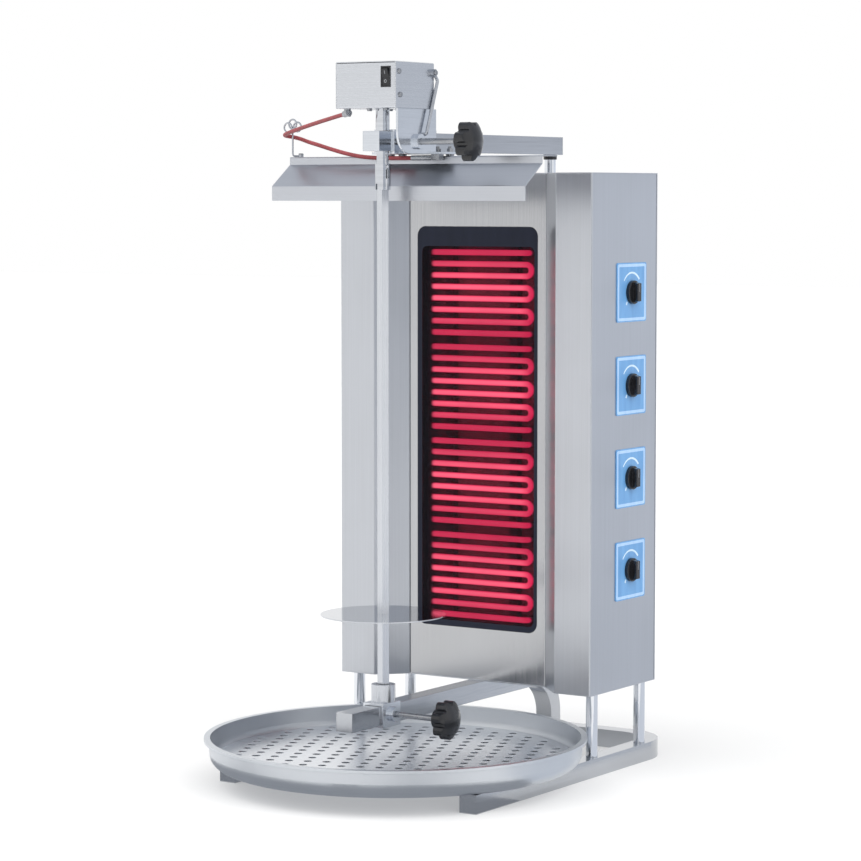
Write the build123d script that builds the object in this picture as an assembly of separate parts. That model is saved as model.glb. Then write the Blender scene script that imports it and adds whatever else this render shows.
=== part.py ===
from build123d import *
import os
from math import cos, hypot, pi, radians, sin, tan

os.makedirs("parts", exist_ok=True)

# Electric doner kebab grill, in millimetres.
# X runs to the right seen from the front, Y backwards and Z up from the floor.
# Lengths along Y are written from the front plane of the cabinet wings. The finished pieces are moved
# by ORIGIN_SHIFT, which puts the origin on the floor in the middle of the footprint.

# Stock and clearances
TUBE = 25.0                 # square tube of the base, the lower arm and the upper bar
TUBE_WALL = 1.5
CAP_PLATE = 2.0             # end caps of the tubes
CAP_PLUG = 6.0
SHEET = 1.5                 # cabinet sheet
THIN_SHEET = 1.2            # hood, motor box and tray sheet
SADDLE_PLATE = 3.0
FOLD = 0.8                  # inner radius of a fold
SLIDE_GAP = 0.3             # between pieces that move on each other
SCREW_GAP = 0.2             # around fixed bolts

# Base, legs and lower arm
RAIL_SPACING = 380.0        # between the centre lines of the two rails
RAIL_FRONT_Y = -284.4
RAIL_REAR_Y = 229.5         # centre line of the rear cross run
RAIL_BEND = 60.0            # bend radius on the centre line
LEG_DIAMETER = 16.0
LEG_WALL = 2.0
LEG_HEIGHT = 86.0
LEG_FRONT_Y = 27.0
LEG_REAR_Y = 157.0
ARM_FRONT_Y = -284.6
ARM_BEND = 60.0

# Cabinet
CABINET_WIDTH = 405.5
CABINET_DEPTH = 178.0
CABINET_HEIGHT = 700.0
WING_FACE = 55.75           # flat front of each wing
SPLAY = 36.0                # sideways run of the slanted wing face
RECESS = 36.0               # depth of the front panel behind the wings
PANEL_FLANGE = 20.0
REAR_LIP = 14.0
VENT_COLUMNS = 2
VENT_ROWS = 9
VENT_WIDTH = 90.0
VENT_HEIGHT = 6.0
VENT_PITCH = 18.0
VENT_SPACING = 190.0
VENT_LOW = 140.0            # lowest vent above the cabinet floor
REAR_SCREW_INSET = 7.0
REAR_SCREW_END = 20.0
REAR_SCREW_ROWS = 4
SCREW_HEAD = 7.0
SCREW_HEAD_HEIGHT = 2.2
SCREW_SHANK = 3.5
SCREW_REACH = 5.0

# Heater
GLASS_WIDTH = 194.0
GLASS_HEIGHT = 554.0
GLASS_CORNER = 13.0
GLASS_THICK = 4.0
GLASS_GAP = 0.5
GLASS_INSET = 0.2           # glass face behind the panel face
FRAME_LEDGE = 5.0           # overlap of the frame behind the glass
FRAME_FLANGE = 11.0
FRAME_BACK = 3.0
PAN_SHEET = 1.0
PAN_SIDE = 5.0              # pan outside the frame opening
PAN_DEPTH = 32.0
BOARD_THICK = 12.0
ELEMENT_DIAMETER = 8.0
ELEMENT_GAP = 1.0           # air between glass and element
ELEMENT_SPAN = 174.0        # outside width of the serpentine
BEND_FLAT = 0.3            # straight left between the two bends of a turn
ELEMENT_TERMINAL_X = 77.0
ELEMENT_LEAD = 12.0         # lead standing out behind the pan
LEAD_BEND = 6.0
LEAD_GAP = 0.5
PASSES = 8
PASS_MARGIN_TOP = 35.4      # glass above the highest pass
PASS_MARGIN_LOW = 15.5      # glass below the lowest pass
RAIL_STRIP_WIDTH = 12.0
RAIL_STRIP_X = 52.0
RAIL_STRIP_GAP = 0.2
ZONES = 4
ZONE_BREAK = 1.257          # step between two zones, in steps between passes

# Controls
CONTROL_Y = 106.0
CONTROL_PITCH = 126.0
CONTROL_PLATE = 80.0
CONTROL_PLATE_THICK = 1.2
CONTROL_PLATE_CORNER = 3.0
KNOB_DIAMETER = 32.0
KNOB_BASE = 5.0
KNOB_HEIGHT = 12.2
KNOB_GRIP_WIDTH = 10.0
KNOB_GRIP_TOP = 24.0
KNOB_EDGE = 1.0
KNOB_MARK_WIDTH = 1.4
KNOB_MARK_DEPTH = 0.6
KNOB_BORE_DEPTH = 8.2
SPINDLE = 6.0
SPINDLE_HOLE = 9.0
REGULATOR_DEPTH = 36.0
REGULATOR_WIDTH = 42.0
REGULATOR_HEIGHT = 48.0
TERMINAL_SIZE = (70.0, 30.0, 25.0)
TERMINAL_X = 100.0
TERMINAL_REAR = 23.0        # from the rear of the cabinet
GLAND_X = 140.0
GLAND_Z = 50.0              # above the cabinet floor
GLAND_FLANGE = 26.0
GLAND_BODY = 19.0
GLAND_LENGTH = 20.0
GLAND_NUT = 4.0
GLAND_BORE = 9.0

# Rear column and upper bar
COLUMN_DIAMETER = 16.0
COLUMN_Y = 230.0
COLUMN_FOOT_Z = 125.0
COLUMN_SPIGOT = 10.0
COLUMN_SPIGOT_REACH = 12.0  # spigot above the underside of the bar
BUSH_DIAMETER = 19.0
BUSH_HEIGHT = 6.5
BRACKET_HEIGHTS = (90.0, 610.0)
BRACKET_PLATE = (60.0, 50.0)
BRACKET_WEB_WIDTH = 28.0
BRACKET_WEB_HEIGHT = 24.0
BRACKET_RIM = 5.5           # bracket beyond the column
BAR_Z = 838.0               # underside of the upper bar
BAR_REAR_Y = 244.0

# Spit
SPIT_Y = -194.0
SPIT_YAW = -18.6            # resting turn of the skewer
SHAFT_DIAMETER = 18.5
JOURNAL_DIAMETER = 16.0
JOURNAL_END_Z = 814.5
SHAFT_TENON = 12.0
SHAFT_TENON_LENGTH = 15.0
BLOCK_WIDTH = 26.0
BLOCK_HEIGHT = 26.0
BLOCK_FRONT = 27.0          # block face ahead of the spit axis
BLOCK_SHOULDER = 4.0        # rear face of the block head behind the spit axis
BLOCK_NECK = 16.0           # end of the neck behind the spit axis
BUSH_WALL = 2.0
SLEEVE_DIAMETER = 20.5
SLEEVE_LOW_Z = 788.0
SLEEVE_HIGH_Z = 822.0
SLEEVE_SQUARE = 12.0        # square socket height at the bottom of the sleeve
SLEEVE_TRAVEL = 13.0
SLEEVE_WINDOW = (3.2, 8.0)
SKEWER_SIDE = 11.0
SKEWER_GRIP = 11.0          # skewer inside the sleeve
SKEWER_TIP = 10.0
DRIVE_PIN = 4.0
DRIVE_PIN_DROP = 4.0        # pin below the top of the sleeve
DISC_RADIUS = 83.0
DISC_THICK = 1.5
DISC_Z = 229.0
DISC_PIN = 3.0
DISC_PIN_LENGTH = 18.0

# Lower carriage
CARRIAGE_WALL = 3.0
CARRIAGE_FRONT = 24.0       # sleeve ahead of the spit axis
CARRIAGE_REAR = 17.0
CUP_DIAMETER = 32.0
CUP_HEIGHT = 23.0
CUP_FLOOR = 2.0
CUP_MOUTH = 18.0
CUP_MOUTH_DEPTH = 11.0
CUP_BUSH = 16.0

# Clamps
CLAMP_SCREW = 8.0
CLAMP_BOSS = 20.0
CLAMP_BOSS_HEIGHT = 5.5
UPPER_STANDOFF = 57.0       # knob hub from the boss face
LOWER_STANDOFF = 62.0
CLAMP_COLLAR = 12.0
CLAMP_COLLAR_HEIGHT = 3.0
STAR_DIAMETER = 52.0
STAR_LOBES = 7
STAR_LOBE = 7.0             # lobe radius
STAR_CORE = 19.6
STAR_HUB = 25.0
STAR_HUB_HEIGHT = 9.0
STAR_HEIGHT = 21.5
STAR_DOME = 42.0
STAR_BORE_DEPTH = 18.0

# Motor saddle
CHEEK_OUTER = 44.0          # right face of the cheek
CHEEK_FRONT_Y = -224.0
CHEEK_REAR_Y = -134.0
CHEEK_CORNER = 27.0
GUIDE_REAR_Y = -90.0
FLANGE_WIDTH = 116.0
FLANGE_TOE = (36.0, -198.0)  # front end of the flange beside the cheek
FLANGE_BACK = 14.0          # flange starts this far behind the guide's front
SHELF_WIDTH = 20.0
SHELF_FRONT_Y = -200.0
UPPER_CLAMP_Y = -177.0

# Motor box
BOX_WIDTH = 94.0
BOX_FRONT_Y = -233.0
BOX_REAR_Y = -144.0
BOX_Z = 893.0
BOX_HEIGHT = 60.0
SHAFT_HOLE_GAP = 1.5
MOTOR_SIZE = (78.0, 76.0, 38.0)
MOTOR_LIFT = 6.0
SWITCH_X = 31.3
SWITCH_RISE = 40.0          # switch centre above the underside of the box
SWITCH_WIDTH = 14.0
SWITCH_HEIGHT = 27.0
SWITCH_FLANGE = 1.5
SWITCH_DEPTH = 12.0
SWITCH_WALL = 1.0
ROCKER_WIDTH = 10.0
ROCKER_HALF = 10.8
ROCKER_TILT = 9.0
ROCKER_BACK = 4.0
ROCKER_AXLE = 2.4
BOX_SCREWS = ((7.5, 47.0), (10.0, 17.0))
BRACE_SCREW = (85.0, 47.0)
SHELF_BOLTS = ((34.0, -184.0), (34.0, -158.0))
MOTOR_SCREWS = ((-8.0, -213.0), (15.0, -208.0), (-8.0, -164.0), (-30.0, -180.0))
MOTOR_FOOT = 9.0

# Hood
HOOD_WIDTH = 400.0
HOOD_LIP_Y = -165.0
HOOD_LIP_HEIGHT = 19.5
HOOD_SLOPE_RUN = 41.5
HOOD_SLOPE_RISE = 29.0
HOOD_UPSTAND = 10.5
HOOD_FLANGE = 38.5
HOOD_DROP = 2.2             # washers between the saddle flange and the hood
HOOD_BOLT = 5.0
HOOD_BOLT_X = (-47.0, -28.0, 28.0, 47.0)
HOOD_BOLT_Y = -105.0
HEX_ACROSS = 8.0
HEX_HEIGHT = 4.5
BOLT_END = 3.0
WASHER = 11.0

# Brace rod and cable hook
BRACE_DIAMETER = 4.5
BRACE_EYE = 10.0
BRACE_EYE_THICK = 5.0
BRACE_BEND = 4.0
BRACE_KINK = (-139.0, 930.0)
BRACE_FOOT = (-165.5, 860.0)
BRACE_TURN = 3.0            # bend radius at the foot of the rod
HOOK_WIRE = 2.4
HOOK_PAD = 3.0              # flat pad under the hook's screw
HOOK_X = -197.0
HOOK_Y = -121.0
HOOK_FOOT = (8.0, 8.0)      # foot of the hook, from the stem
HOOK_HEIGHT = 39.0          # stem above the hood
HOOK_BEND = 3.0
HOOK_RING = 6.3
HOOK_RINGS = ((-1.143, -0.127, 0.159), (0.0, 0.0, 0.889), (1.143, 0.127, 0.286))  # in ring radii

# Motor cable, red silicone, held by the hook
CABLE_DIAMETER = 5.5
CABLE_ROUTE = (
    (-46.0, -214.0, 886.6),
    (-96.0, -187.2, 880.1),
    (-146.0, -160.4, 873.0),
    (-184.0, -140.0, 867.0),
    (-202.7, -130.0, 863.6),
    (-208.0, -124.7, 861.8),
    (-208.0, -117.3, 861.0),
    (-202.7, -112.0, 860.0),
    (-190.0, -112.4, 857.3),
    (-174.0, -116.8, 852.9),
    (-157.5, -121.5, 849.5),
    (-128.0, -127.0, 842.3),
    (-98.0, -130.0, 835.4),
    (-70.0, -130.9, 831.2),
    (-32.5, -131.2, 829.8),
    (4.0, -131.0, 830.0),
)
GLAND_NOZZLE = 9.0
GLAND_NOZZLE_LENGTH = 12.0
FERRULE_DIAMETER = 6.8
FERRULE_LENGTH = 40.0
ANCHOR_SIZE = (12.0, 12.0)

# Drip tray and plate
TRAY_RADIUS = 255.0
TRAY_Y = -164.6
TRAY_HEIGHT = 39.0
TRAY_RIM = 7.0
TRAY_LIP = 4.0
TRAY_CORNER = 20.0
DRIP_RADIUS = 236.0
DRIP_RISE = 12.0            # plate above the tray floor
DRIP_HOLE = 11.0
DRIP_PITCH = 25.5
DRIP_TURN = 22.0
DRIP_MARGIN = 11.0
DRIP_FOOT = 12.0
DRIP_FOOT_RADIUS = 206.3
DRIP_FEET = 4

# Places that follow from the sizes above
HALF_TUBE = TUBE / 2
HALF_CABINET = CABINET_WIDTH / 2
WING_INNER = HALF_CABINET - WING_FACE
RECESS_HALF = WING_INNER - SPLAY
CABINET_Z = TUBE + LEG_HEIGHT
CABINET_TOP = CABINET_Z + CABINET_HEIGHT
CABINET_MID = CABINET_Z + CABINET_HEIGHT / 2
WALL_Z = CABINET_Z + SHEET
WALL_HEIGHT = CABINET_HEIGHT - 2 * SHEET
ARM_Z = CABINET_Z - HALF_TUBE
BAR_MID = BAR_Z + HALF_TUBE
BAR_TOP = BAR_Z + TUBE
ORIGIN_SHIFT = (TRAY_RADIUS - TRAY_Y - BAR_REAR_Y) / 2
PASS_STEPS = ZONES * (PASSES - 1) + (ZONES - 1) * ZONE_BREAK
PASS_PITCH = (GLASS_HEIGHT - PASS_MARGIN_TOP - PASS_MARGIN_LOW) / PASS_STEPS
ELEMENT_BEND = (PASS_PITCH - BEND_FLAT) / 2
ZONE_PITCH = (PASSES - 1 + ZONE_BREAK) * PASS_PITCH
HEATER_MID = CABINET_MID + (PASS_MARGIN_LOW - PASS_MARGIN_TOP) / 2
ZONE_HEIGHTS = [HEATER_MID + (ZONES - 1 - 2 * i) * ZONE_PITCH / 2 for i in range(ZONES)]
CONTROL_HEIGHTS = [CABINET_MID + (ZONES - 1 - 2 * i) * CONTROL_PITCH / 2 for i in range(ZONES)]
GLASS_FRONT = RECESS + GLASS_INSET
GLASS_BACK = GLASS_FRONT + GLASS_THICK
FRAME_REAR = GLASS_BACK + FRAME_BACK
ELEMENT_Y = GLASS_BACK + ELEMENT_GAP + ELEMENT_DIAMETER / 2
PAN_BACK = FRAME_REAR + PAN_DEPTH
BLOCK_FRONT_Y = SPIT_Y - BLOCK_FRONT
BLOCK_REAR_Y = SPIT_Y + BLOCK_SHOULDER
NECK_REAR_Y = SPIT_Y + BLOCK_NECK
BAR_FRONT_Y = NECK_REAR_Y + SLIDE_GAP
SADDLE_LOW = BAR_Z - SLIDE_GAP - SADDLE_PLATE
HALF_GUIDE = HALF_TUBE + SLIDE_GAP
HALF_SLEEVE = HALF_GUIDE + SADDLE_PLATE
CHEEK_INNER = CHEEK_OUTER - SADDLE_PLATE
SHELF_Z = BOX_Z - SADDLE_PLATE
BLOCK_TOP = BAR_Z + BLOCK_HEIGHT
SKEWER_TOP = SLEEVE_LOW_Z + SKEWER_GRIP
CARRIAGE_HALF = HALF_GUIDE + CARRIAGE_WALL
CARRIAGE_TOP = ARM_Z + CARRIAGE_HALF
CUP_BUSH_TOP = CARRIAGE_TOP + CUP_HEIGHT - CUP_MOUTH_DEPTH
HOOD_TOP = SADDLE_LOW - HOOD_DROP
HOOD_BACK_Y = HOOD_LIP_Y + HOOD_SLOPE_RUN
TRAY_Z = TUBE + SLIDE_GAP
DRIP_Z = TRAY_Z + THIN_SHEET + DRIP_RISE
ROCKER_Y = BOX_FRONT_Y
SWITCH_Z = BOX_Z + SWITCH_RISE

pieces = {}


def save(name, *solids):
    """Keep the solids of one node, moved into the part's own frame."""
    pieces[name] = [Pos(0, ORIGIN_SHIFT, 0) * solid for solid in solids]


def bar_box(x0, x1, y0, y1, z0, z1):
    """Block between two corners."""
    place = Pos((x0 + x1) / 2, (y0 + y1) / 2, (z0 + z1) / 2)
    return place * Box(x1 - x0, y1 - y0, z1 - z0)


def rod(start, direction, radius, length):
    """Round rod from a start point along a direction."""
    plane = Plane(origin=start, z_dir=direction)
    return extrude(plane * Circle(radius), length)


def upright(x, y, z0, z1, radius):
    """Vertical round rod."""
    return rod((x, y, z0), (0, 0, 1), radius, z1 - z0)


def across(x0, x1, y, z, radius):
    """Round rod along X."""
    return rod((x0, y, z), (1, 0, 0), radius, x1 - x0)


def soften(face, point, radius):
    """Round one corner of a flat face."""
    return fillet(face.vertices().sort_by_distance((*point, 0))[0], radius)


def folded(points, thick):
    """Section of a folded sheet. The sheet lies to the right of the line, or left if thick is negative."""
    steps = [(b[0] - a[0], b[1] - a[1]) for a, b in zip(points, points[1:])]
    normals = [(dy / hypot(dx, dy), -dx / hypot(dx, dy)) for dx, dy in steps]
    inner = []
    for i, (px, py) in enumerate(points):
        ax, ay = normals[max(i - 1, 0)]
        bx, by = normals[min(i, len(normals) - 1)]
        reach = thick / (1 + ax * bx + ay * by)
        inner.append((px + (ax + bx) * reach, py + (ay + by) * reach))
    outline = [*inner, *reversed(points)] if thick > 0 else [*points, *reversed(inner)]
    face = Polygon(*outline, align=None)
    for i in range(1, len(points) - 1):
        left_turn = steps[i - 1][0] * steps[i][1] - steps[i - 1][1] * steps[i][0] > 0
        sheet_inside = left_turn == (thick < 0)
        face = soften(face, points[i], FOLD + abs(thick) if sheet_inside else FOLD)
        face = soften(face, inner[i], FOLD if sheet_inside else FOLD + abs(thick))
    return face


def square_tube(path, across_dir):
    """Hollow square tube along a path."""
    plane = Plane(origin=path @ 0, x_dir=across_dir, z_dir=path % 0)
    hollow = TUBE - 2 * TUBE_WALL
    return sweep(plane * (Rectangle(TUBE, TUBE) - Rectangle(hollow, hollow)), path)


def end_cap(x, y, z, inward):
    """Square cap with a plug, for a tube along Y. The plug points along inward."""
    plug = TUBE - 2 * TUBE_WALL - 2 * SCREW_GAP
    plate = Pos(x, y + inward * CAP_PLATE / 2, z) * Box(TUBE, CAP_PLATE, TUBE)
    middle = y + inward * (CAP_PLATE + CAP_PLUG / 2)
    return plate + Pos(x, middle, z) * Box(plug, CAP_PLUG, plug)


def spit_square(side, z0, z1):
    """Square block on the spit axis, turned to its resting angle."""
    return Pos(0, SPIT_Y, (z0 + z1) / 2) * Rot(0, 0, SPIT_YAW) * Box(side, side, z1 - z0)


def spit_round(radius, z0, z1):
    """Round block on the spit axis."""
    return upright(0, SPIT_Y, z0, z1, radius)


def cross_pin(diameter, length, z):
    """Pin through the spit axis, turned with the spit."""
    pin = Rot(0, 90, 0) * Cylinder(diameter / 2, length)
    return Pos(0, SPIT_Y, z) * Rot(0, 0, SPIT_YAW) * pin


def pan_head(place, direction):
    """Pan head screw whose head stands out along direction."""
    head = rod(place, direction, SCREW_HEAD / 2, SCREW_HEAD_HEIGHT)
    head = fillet(head.edges().filter_by(GeomType.CIRCLE).sort_by_distance(place)[-1], SCREW_HEAD_HEIGHT / 2)
    back = tuple(-c for c in direction)
    return head + rod(place, back, SCREW_SHANK / 2, SCREW_REACH)


def hexagon(x, y, z0, z1):
    """Upright hexagon, as a nut or a bolt head."""
    return Pos(x, y, z0) * extrude(RegularPolygon(HEX_ACROSS / 2, 6, major_radius=False), z1 - z0)


# Base and arm
def make_base():
    """U-bent base frame, its caps, the legs and the lower arm."""
    half = RAIL_SPACING / 2
    front = RAIL_FRONT_Y + CAP_PLATE
    corners = [(-half, front), (-half, RAIL_REAR_Y), (half, RAIL_REAR_Y), (half, front)]
    base_path = FilletPolyline(*[(x, y, HALF_TUBE) for x, y in corners], radius=RAIL_BEND)
    save("base_frame", square_tube(base_path, (1, 0, 0)))

    leg_ring = Circle(LEG_DIAMETER / 2) - Circle(LEG_DIAMETER / 2 - LEG_WALL)
    leg = extrude(leg_ring, LEG_HEIGHT)
    spots = [(x, y) for x in (-half, half) for y in (LEG_FRONT_Y, LEG_REAR_Y)]
    save("support_legs", *[Pos(x, y, TUBE) * leg for x, y in spots])

    arm_points = [(0, ARM_FRONT_Y + CAP_PLATE, ARM_Z), (0, RAIL_REAR_Y, ARM_Z), (0, RAIL_REAR_Y, TUBE)]
    save("lower_arm", square_tube(FilletPolyline(*arm_points, radius=ARM_BEND), (1, 0, 0)))

    save(
        "tube_end_caps",
        end_cap(-half, RAIL_FRONT_Y, HALF_TUBE, 1),
        end_cap(half, RAIL_FRONT_Y, HALF_TUBE, 1),
        end_cap(0, ARM_FRONT_Y, ARM_Z, 1),
        end_cap(0, BAR_FRONT_Y, BAR_MID, 1),
        end_cap(0, BAR_REAR_Y, BAR_MID, -1),
    )


def make_bar():
    """Rear column with its brackets and bush, and the upper bar on it."""
    bush_z = BAR_Z - BUSH_HEIGHT
    column = upright(0, COLUMN_Y, COLUMN_FOOT_Z, bush_z, COLUMN_DIAMETER / 2)
    spigot = upright(0, COLUMN_Y, bush_z, BAR_Z + COLUMN_SPIGOT_REACH, COLUMN_SPIGOT / 2)
    save("rear_column", column + spigot)
    save("column_bush", upright(0, COLUMN_Y, bush_z, BAR_Z, BUSH_DIAMETER / 2) - spigot)

    brackets = []
    half_web = BRACKET_WEB_WIDTH / 2
    far = COLUMN_Y + COLUMN_DIAMETER / 2 + BRACKET_RIM
    for height in BRACKET_HEIGHTS:
        z = CABINET_Z + height
        wide, tall = BRACKET_PLATE
        plate_back = CABINET_DEPTH + SADDLE_PLATE
        plate = bar_box(-wide / 2, wide / 2, CABINET_DEPTH, plate_back, z - tall / 2, z + tall / 2)
        half_tall = BRACKET_WEB_HEIGHT / 2
        web = bar_box(-half_web, half_web, plate_back, far, z - half_tall, z + half_tall)
        web = fillet(web.edges().filter_by(Axis.Z).group_by(Axis.Y)[-1], BRACKET_RIM / 2)
        brackets.append(plate + web - column)
    save("column_brackets", *brackets)

    bar_path = Line((0, BAR_FRONT_Y + CAP_PLATE, BAR_MID), (0, BAR_REAR_Y - CAP_PLATE, BAR_MID))
    save("upper_bar", square_tube(bar_path, (1, 0, 0)) - spigot)


# Cabinet
def plan_outline():
    """Outline of the cabinet seen from above."""
    right = [(RECESS_HALF, RECESS), (WING_INNER, 0), (HALF_CABINET, 0), (HALF_CABINET, CABINET_DEPTH)]
    left = [(-x, y) for x, y in reversed(right)]
    face = Polygon(*right, *left, align=None)
    for side in (-1, 1):
        face = soften(face, (side * WING_INNER, 0), FOLD + SHEET)
        face = soften(face, (side * HALF_CABINET, 0), FOLD + SHEET)
    return face


def side_casing():
    """Right side wall, wing front and slanted wing face, folded from one sheet."""
    back = CABINET_DEPTH - SHEET
    line = [
        (HALF_CABINET - REAR_LIP, back),
        (HALF_CABINET, back),
        (HALF_CABINET, 0),
        (WING_INNER, 0),
        (RECESS_HALF, RECESS),
        (RECESS_HALF, RECESS + PANEL_FLANGE),
    ]
    return Pos(0, 0, WALL_Z) * extrude(folded(line, SHEET), WALL_HEIGHT)


def rounded_plate(wide, tall, corner, y0, y1):
    """Upright plate with round corners, centred on the heater."""
    plane = Plane(origin=(0, y0, CABINET_MID), x_dir=(1, 0, 0), z_dir=(0, 1, 0))
    return extrude(plane * RectangleRounded(wide, tall, corner), y1 - y0)


def rear_screws():
    """Pan head screws down both edges of the rear cover."""
    edge = HALF_CABINET - REAR_SCREW_INSET
    run = WALL_HEIGHT - 2 * REAR_SCREW_END
    rows = [WALL_Z + REAR_SCREW_END + run * i / (REAR_SCREW_ROWS - 1) for i in range(REAR_SCREW_ROWS)]
    return [pan_head((x, CABINET_DEPTH, z), (0, 1, 0)) for x in (-edge, edge) for z in rows]


def make_cabinet():
    """Casings, covers and panel of the cabinet."""
    screws = rear_screws()
    casing = side_casing()
    save("side_casing_left", mirror(casing, Plane.YZ) - screws)
    spindle_holes = [
        across(HALF_CABINET - 2 * SHEET, HALF_CABINET + SHEET, CONTROL_Y, z, SPINDLE_HOLE / 2)
        for z in CONTROL_HEIGHTS
    ]
    save("side_casing_right", casing - spindle_holes - screws)
    save("cabinet_screws", *screws)

    flange_end = RECESS + PANEL_FLANGE
    line = [
        (-RECESS_HALF, flange_end),
        (-RECESS_HALF, RECESS),
        (RECESS_HALF, RECESS),
        (RECESS_HALF, flange_end),
    ]
    panel = Pos(0, 0, WALL_Z) * extrude(folded(line, -SHEET), WALL_HEIGHT)
    wide = GLASS_WIDTH + 2 * GLASS_GAP
    tall = GLASS_HEIGHT + 2 * GLASS_GAP
    window = rounded_plate(wide, tall, GLASS_CORNER + GLASS_GAP, RECESS - SHEET, RECESS + 2 * SHEET)
    save("front_panel", panel - window)

    cover = extrude(plan_outline(), SHEET)
    save("top_cover", Pos(0, 0, CABINET_TOP - SHEET) * cover)
    save("bottom_pan", Pos(0, 0, CABINET_Z) * cover)

    back = bar_box(
        -HALF_CABINET, HALF_CABINET, CABINET_DEPTH - SHEET, CABINET_DEPTH, WALL_Z, WALL_Z + WALL_HEIGHT
    )
    vents = []
    for column in range(VENT_COLUMNS):
        x = (column - (VENT_COLUMNS - 1) / 2) * VENT_SPACING
        for row in range(VENT_ROWS):
            z = CABINET_Z + VENT_LOW + row * VENT_PITCH
            plane = Plane(origin=(x, CABINET_DEPTH - 2 * SHEET, z), x_dir=(1, 0, 0), z_dir=(0, 1, 0))
            vents.append(extrude(plane * SlotOverall(VENT_WIDTH, VENT_HEIGHT), 3 * SHEET))
    gland_hole = rod((GLAND_X, CABINET_DEPTH, CABINET_Z + GLAND_Z), (0, -1, 0), GLAND_BODY / 2, 2 * SHEET)
    save("rear_cover", back - vents - gland_hole - screws)

    nut = rod((GLAND_X, CABINET_DEPTH, CABINET_Z + GLAND_Z), (0, 1, 0), GLAND_FLANGE / 2, GLAND_NUT)
    body = rod(
        (GLAND_X, CABINET_DEPTH - 2 * SHEET, CABINET_Z + GLAND_Z),
        (0, 1, 0),
        GLAND_BODY / 2,
        2 * SHEET + GLAND_LENGTH,
    )
    tip = body.faces().sort_by(Axis.Y)[-1]
    body = fillet(tip.edges(), GLAND_NUT / 2)
    bore = rod(
        (GLAND_X, CABINET_DEPTH + GLAND_NUT, CABINET_Z + GLAND_Z), (0, 1, 0), GLAND_BORE / 2, GLAND_LENGTH
    )
    save("mains_gland", nut + body - bore)


# Heater
def element_path():
    """Centre line of one serpentine element about height zero, with its two leads."""
    left = -ELEMENT_SPAN / 2 + ELEMENT_DIAMETER / 2
    right = -left
    lead_y = PAN_BACK + ELEMENT_LEAD
    heights = [((PASSES - 1) / 2 - i) * PASS_PITCH for i in range(PASSES)]
    points = [(ELEMENT_TERMINAL_X, lead_y, heights[0]), (ELEMENT_TERMINAL_X, ELEMENT_Y, heights[0])]
    radii = [LEAD_BEND]
    side = left
    for upper, lower in zip(heights, heights[1:]):
        points += [(side, ELEMENT_Y, upper), (side, ELEMENT_Y, lower)]
        radii += [ELEMENT_BEND, ELEMENT_BEND]
        side = right if side == left else left
    points += [(ELEMENT_TERMINAL_X, ELEMENT_Y, heights[-1]), (ELEMENT_TERMINAL_X, lead_y, heights[-1])]
    radii.append(LEAD_BEND)
    return FilletPolyline(*points, radius=radii)


def make_heater():
    """Glass, frame, pan, board and the four heating elements."""
    save("heater_glass", rounded_plate(GLASS_WIDTH, GLASS_HEIGHT, GLASS_CORNER, GLASS_FRONT, GLASS_BACK))

    frame_front = RECESS + SHEET
    outer_w = GLASS_WIDTH + 2 * FRAME_FLANGE
    outer_h = GLASS_HEIGHT + 2 * FRAME_FLANGE
    open_w = GLASS_WIDTH - 2 * FRAME_LEDGE
    open_h = GLASS_HEIGHT - 2 * FRAME_LEDGE
    frame = rounded_plate(outer_w, outer_h, GLASS_CORNER, frame_front, FRAME_REAR)
    pocket_w = GLASS_WIDTH + 2 * GLASS_GAP
    pocket_h = GLASS_HEIGHT + 2 * GLASS_GAP
    frame -= rounded_plate(pocket_w, pocket_h, GLASS_CORNER + GLASS_GAP, frame_front, GLASS_BACK)
    frame -= rounded_plate(open_w, open_h, GLASS_CORNER, frame_front, FRAME_REAR)
    save("glass_frame", frame)

    path = element_path()
    plane = Plane(origin=path @ 0, z_dir=path % 0)
    element = sweep(plane * Circle(ELEMENT_DIAMETER / 2), path)
    for i, z in enumerate(ZONE_HEIGHTS, start=1):
        save(f"heating_element_{i}", Pos(0, 0, z) * element)

    lead_rows = [z + sign * (PASSES - 1) / 2 * PASS_PITCH for z in ZONE_HEIGHTS for sign in (-1, 1)]
    lead_radius = ELEMENT_DIAMETER / 2 + LEAD_GAP
    leads = [rod((ELEMENT_TERMINAL_X, ELEMENT_Y, z), (0, 1, 0), lead_radius, PAN_DEPTH) for z in lead_rows]

    pan_w = open_w + 2 * PAN_SIDE
    pan_h = open_h + 2 * PAN_SIDE
    in_w = pan_w - 2 * PAN_SHEET
    in_h = pan_h - 2 * PAN_SHEET
    pan = rounded_plate(pan_w, pan_h, GLASS_CORNER, FRAME_REAR, PAN_BACK)
    inner_corner = GLASS_CORNER - PAN_SHEET
    pan -= rounded_plate(in_w, in_h, inner_corner, FRAME_REAR, PAN_BACK - PAN_SHEET)
    save("heater_pan", pan - leads)
    board_front = PAN_BACK - PAN_SHEET - BOARD_THICK
    board = rounded_plate(in_w, in_h, inner_corner, board_front, PAN_BACK - PAN_SHEET)
    save("insulation_board", board - leads)

    strip_front = ELEMENT_Y + ELEMENT_DIAMETER / 2 + RAIL_STRIP_GAP
    half_h = open_h / 2 - PAN_SIDE
    half_w = RAIL_STRIP_WIDTH / 2
    strips = [
        bar_box(x - half_w, x + half_w, strip_front, board_front, CABINET_MID - half_h, CABINET_MID + half_h)
        for x in (-RAIL_STRIP_X, RAIL_STRIP_X)
    ]
    save("element_rails", *strips)


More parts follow.
